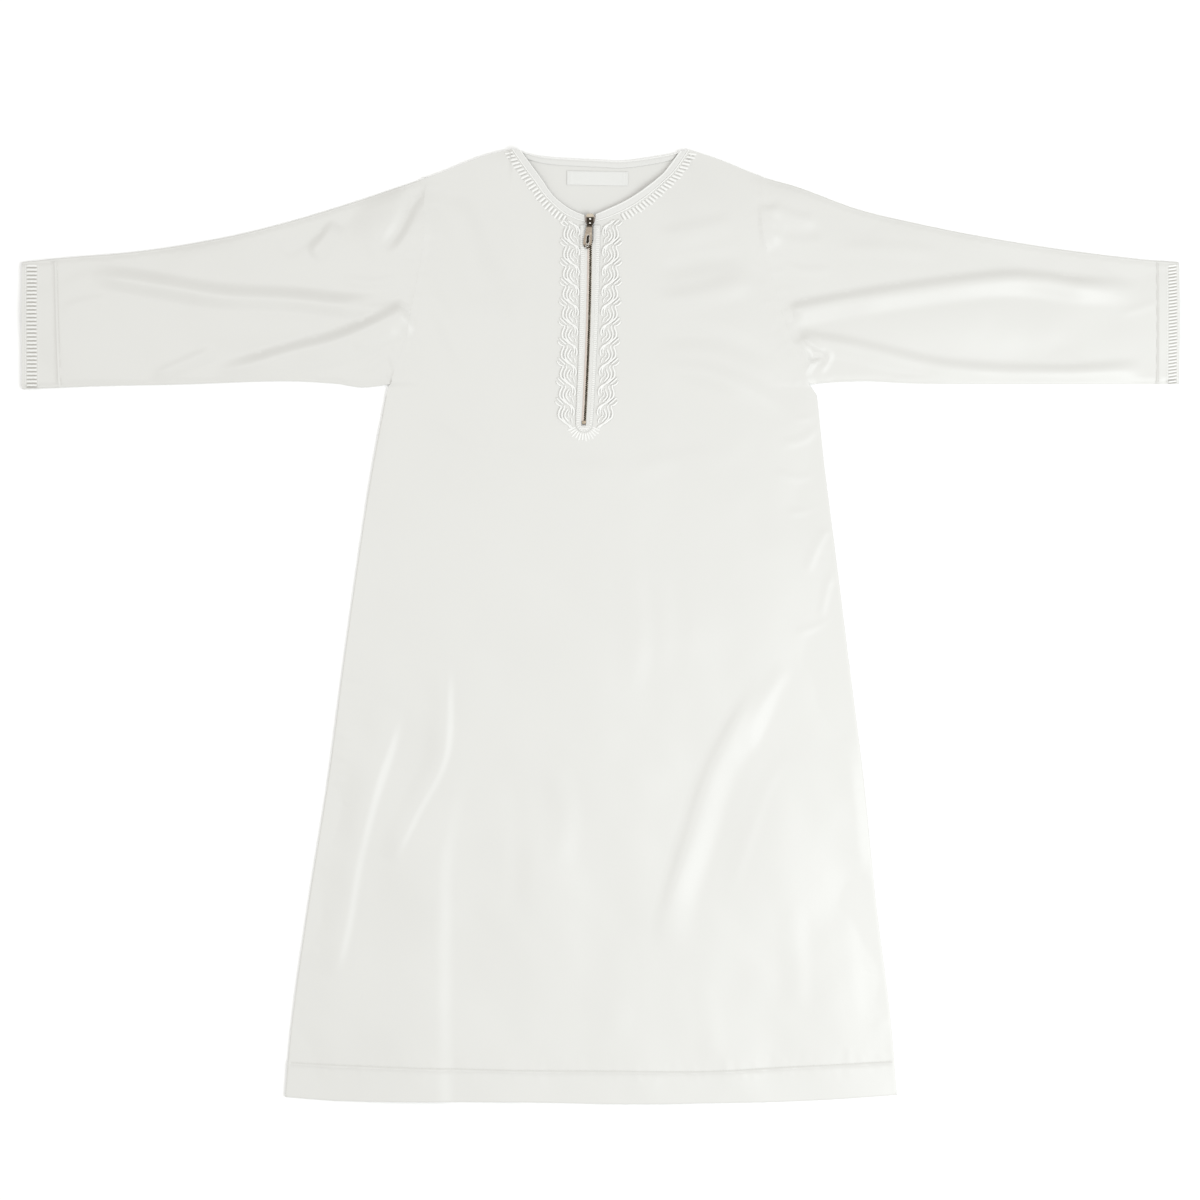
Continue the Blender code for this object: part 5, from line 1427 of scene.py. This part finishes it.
def dome(name, x, down, z, halfX, halfY, halfZ):  # a small boss in near-white brass: a painted highlight, with painted shade on its flanks
    shell = Shell()
    rings, sides = 10, 24
    line = np.array([[0.0, 0.0, -math.cos(math.pi * i / rings)] for i in range(rings + 1)])
    radius = np.sqrt(np.maximum(1 - line[:, 2] ** 2, 0.0004))
    across = np.tile([0.0, 1.0, 0.0], (len(line), 1))
    shell.tube(line, radius, sides=sides, normals=across)
    shell.verts = [shell.verts[0] * (halfX, halfY, halfZ) + (x, place(0, down)[1], z)]
    return shell.make(name, highlightBrass)


# painted highlights on the slider's crown and at the strap's end
dome("slider_crown", -0.0095, 0.0652, 0.0090, 0.0011, 0.0010, 0.0005)
dome("slider_strap_end", -0.0096, 0.0690, 0.0090, 0.0011, 0.0008, 0.0004)

# On the pull: a rim round its slot and slanted ridges at the tip, in near-white brass as painted
# highlights, and a dark sheet in the slot as painted shade
pullForm = {
    "axis": (-0.0096, 0.373, 0.00755), "slope": 0.0514, "lean": math.radians(7.0), "half": 0.00045,
    "slot": [(0.0128, 0.0006), (0.0137, 0.0013), (0.0197, 0.0015), (0.0208, 0.0007)],
    "rim": 0.00022, "ridges": [(0.0219, 0.0020), (0.0237, 0.0016)], "ridge": 0.00036,
}
pullTurn = Euler((pullForm["slope"], 0.0, -pullForm["lean"])).to_matrix()


def onPull(across, along, above):  # a place on the pull, by its distance from the hinge
    return np.array(Vector(pullForm["axis"]) + pullTurn @ Vector((across, -along, above)))


slot = pullForm["slot"]
loop = evenly([(half, along) for along, half in slot] + [(-half, along) for along, half in slot[::-1]],
              0.0006, closed=True)
shell = Shell()
rimLine = np.array([
    onPull(across, along, pullForm["half"]) for across, along in np.vstack([loop, loop[:2]])])
shell.tube(rimLine, pullForm["rim"], sides=8)
for along, half in pullForm["ridges"]:
    ridge = [onPull(half * t, along - 0.0010 * t, pullForm["half"]) for t in np.linspace(-1, 1, 9)]
    shell.tube(ridge, pullForm["ridge"], sides=8)
shell.make("pull_relief", highlightBrass, body="pull")
shell = Shell()
# a dark sheet inside the slot: painted shade
for above, flip in ((-0.00022, False), (-0.00040, True)):
    ring = [onPull(across, along, above) for across, along in loop]
    shell.verts.append(np.array(ring))
    face = list(range(shell.count, shell.count + len(ring)))
    shell.faces.append(face if flip else face[::-1])
    shell.count += len(ring)
shell.wall(range(len(loop)), range(len(loop), 2 * len(loop)))
shell.make("pull_slot_shade", slotShadeBrass, body="pull")
hard = {"bevel": 0.00016, "segments": 3}
for node, finish in (("zip_slider", sliderBrass), ("zip_pull", pullBrass), ("zip_bottom_stop", stopBrass)):
    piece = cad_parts[node]
    piece.data.materials.clear()
    piece.data.materials.append(finish)
    bevel = piece.modifiers.new("edges", "BEVEL")
    bevel.width, bevel.segments, bevel.limit_method = hard["bevel"], hard["segments"], "ANGLE"
print("zip ready")

# Floor, light and camera
bpy.ops.mesh.primitive_plane_add(size=12, location=(0, 0, 0))
floor = bpy.context.object
floor.name = "floor"
floorPaint = Paint("floor_paper", Roughness=0.9)
paperTone = floorPaint.noise(3.0, 2.0)
floorPaint.feed("Base Color", floorPaint.mix(paperTone, rgb(0.965, 0.965, 0.965), rgb(0.98, 0.98, 0.98)))
floor.data.materials.append(floorPaint.material)

studio = {
    "world": 0.80, "worldColour": (1.0, 0.99, 0.96),
    "key": {"energy": 13.0, "size": 1.0, "at": (1.00, -0.45, 1.30), "to": (0.1, 0.0, 0.0),
            "colour": (0.92, 0.97, 1.0)},
    "fill": {"energy": 16.0, "size": 1.6, "at": (-1.05, 0.65, 2.85), "to": (-0.1, 0.1, 0.0),
             "colour": (0.97, 0.99, 1.0)},
}
world = bpy.data.worlds.new("studio")
bpy.context.scene.world = world
world.use_nodes = True
world.node_tree.nodes["Background"].inputs[0].default_value = (*studio["worldColour"], 1.0)
world.node_tree.nodes["Background"].inputs[1].default_value = studio["world"]
for name in ("key", "fill"):
    look = studio[name]
    lamp = bpy.data.lights.new(name, "AREA")
    lamp.energy, lamp.size, lamp.color = look["energy"], look["size"], look["colour"]
    light = bpy.data.objects.new(name, lamp)
    light.location = look["at"]
    light.rotation_euler = (Vector(look["to"]) - light.location).to_track_quat("-Z", "Y").to_euler()
    bpy.context.scene.collection.objects.link(light)

lens = {"focal": 85.0, "sensor": 36.0, "seen": 1.1058, "centre": (-0.00046, 0.0244), "plane": 0.003}
camera = bpy.data.objects.new("camera", bpy.data.cameras.new("camera"))
camera.data.lens, camera.data.sensor_width = lens["focal"], lens["sensor"]
camera.location = (*lens["centre"], lens["plane"] + lens["seen"] * lens["focal"] / lens["sensor"])
bpy.context.scene.collection.objects.link(camera)
bpy.context.scene.camera = camera
bpy.context.scene.view_settings.view_transform = "Standard"
print("stage ready")
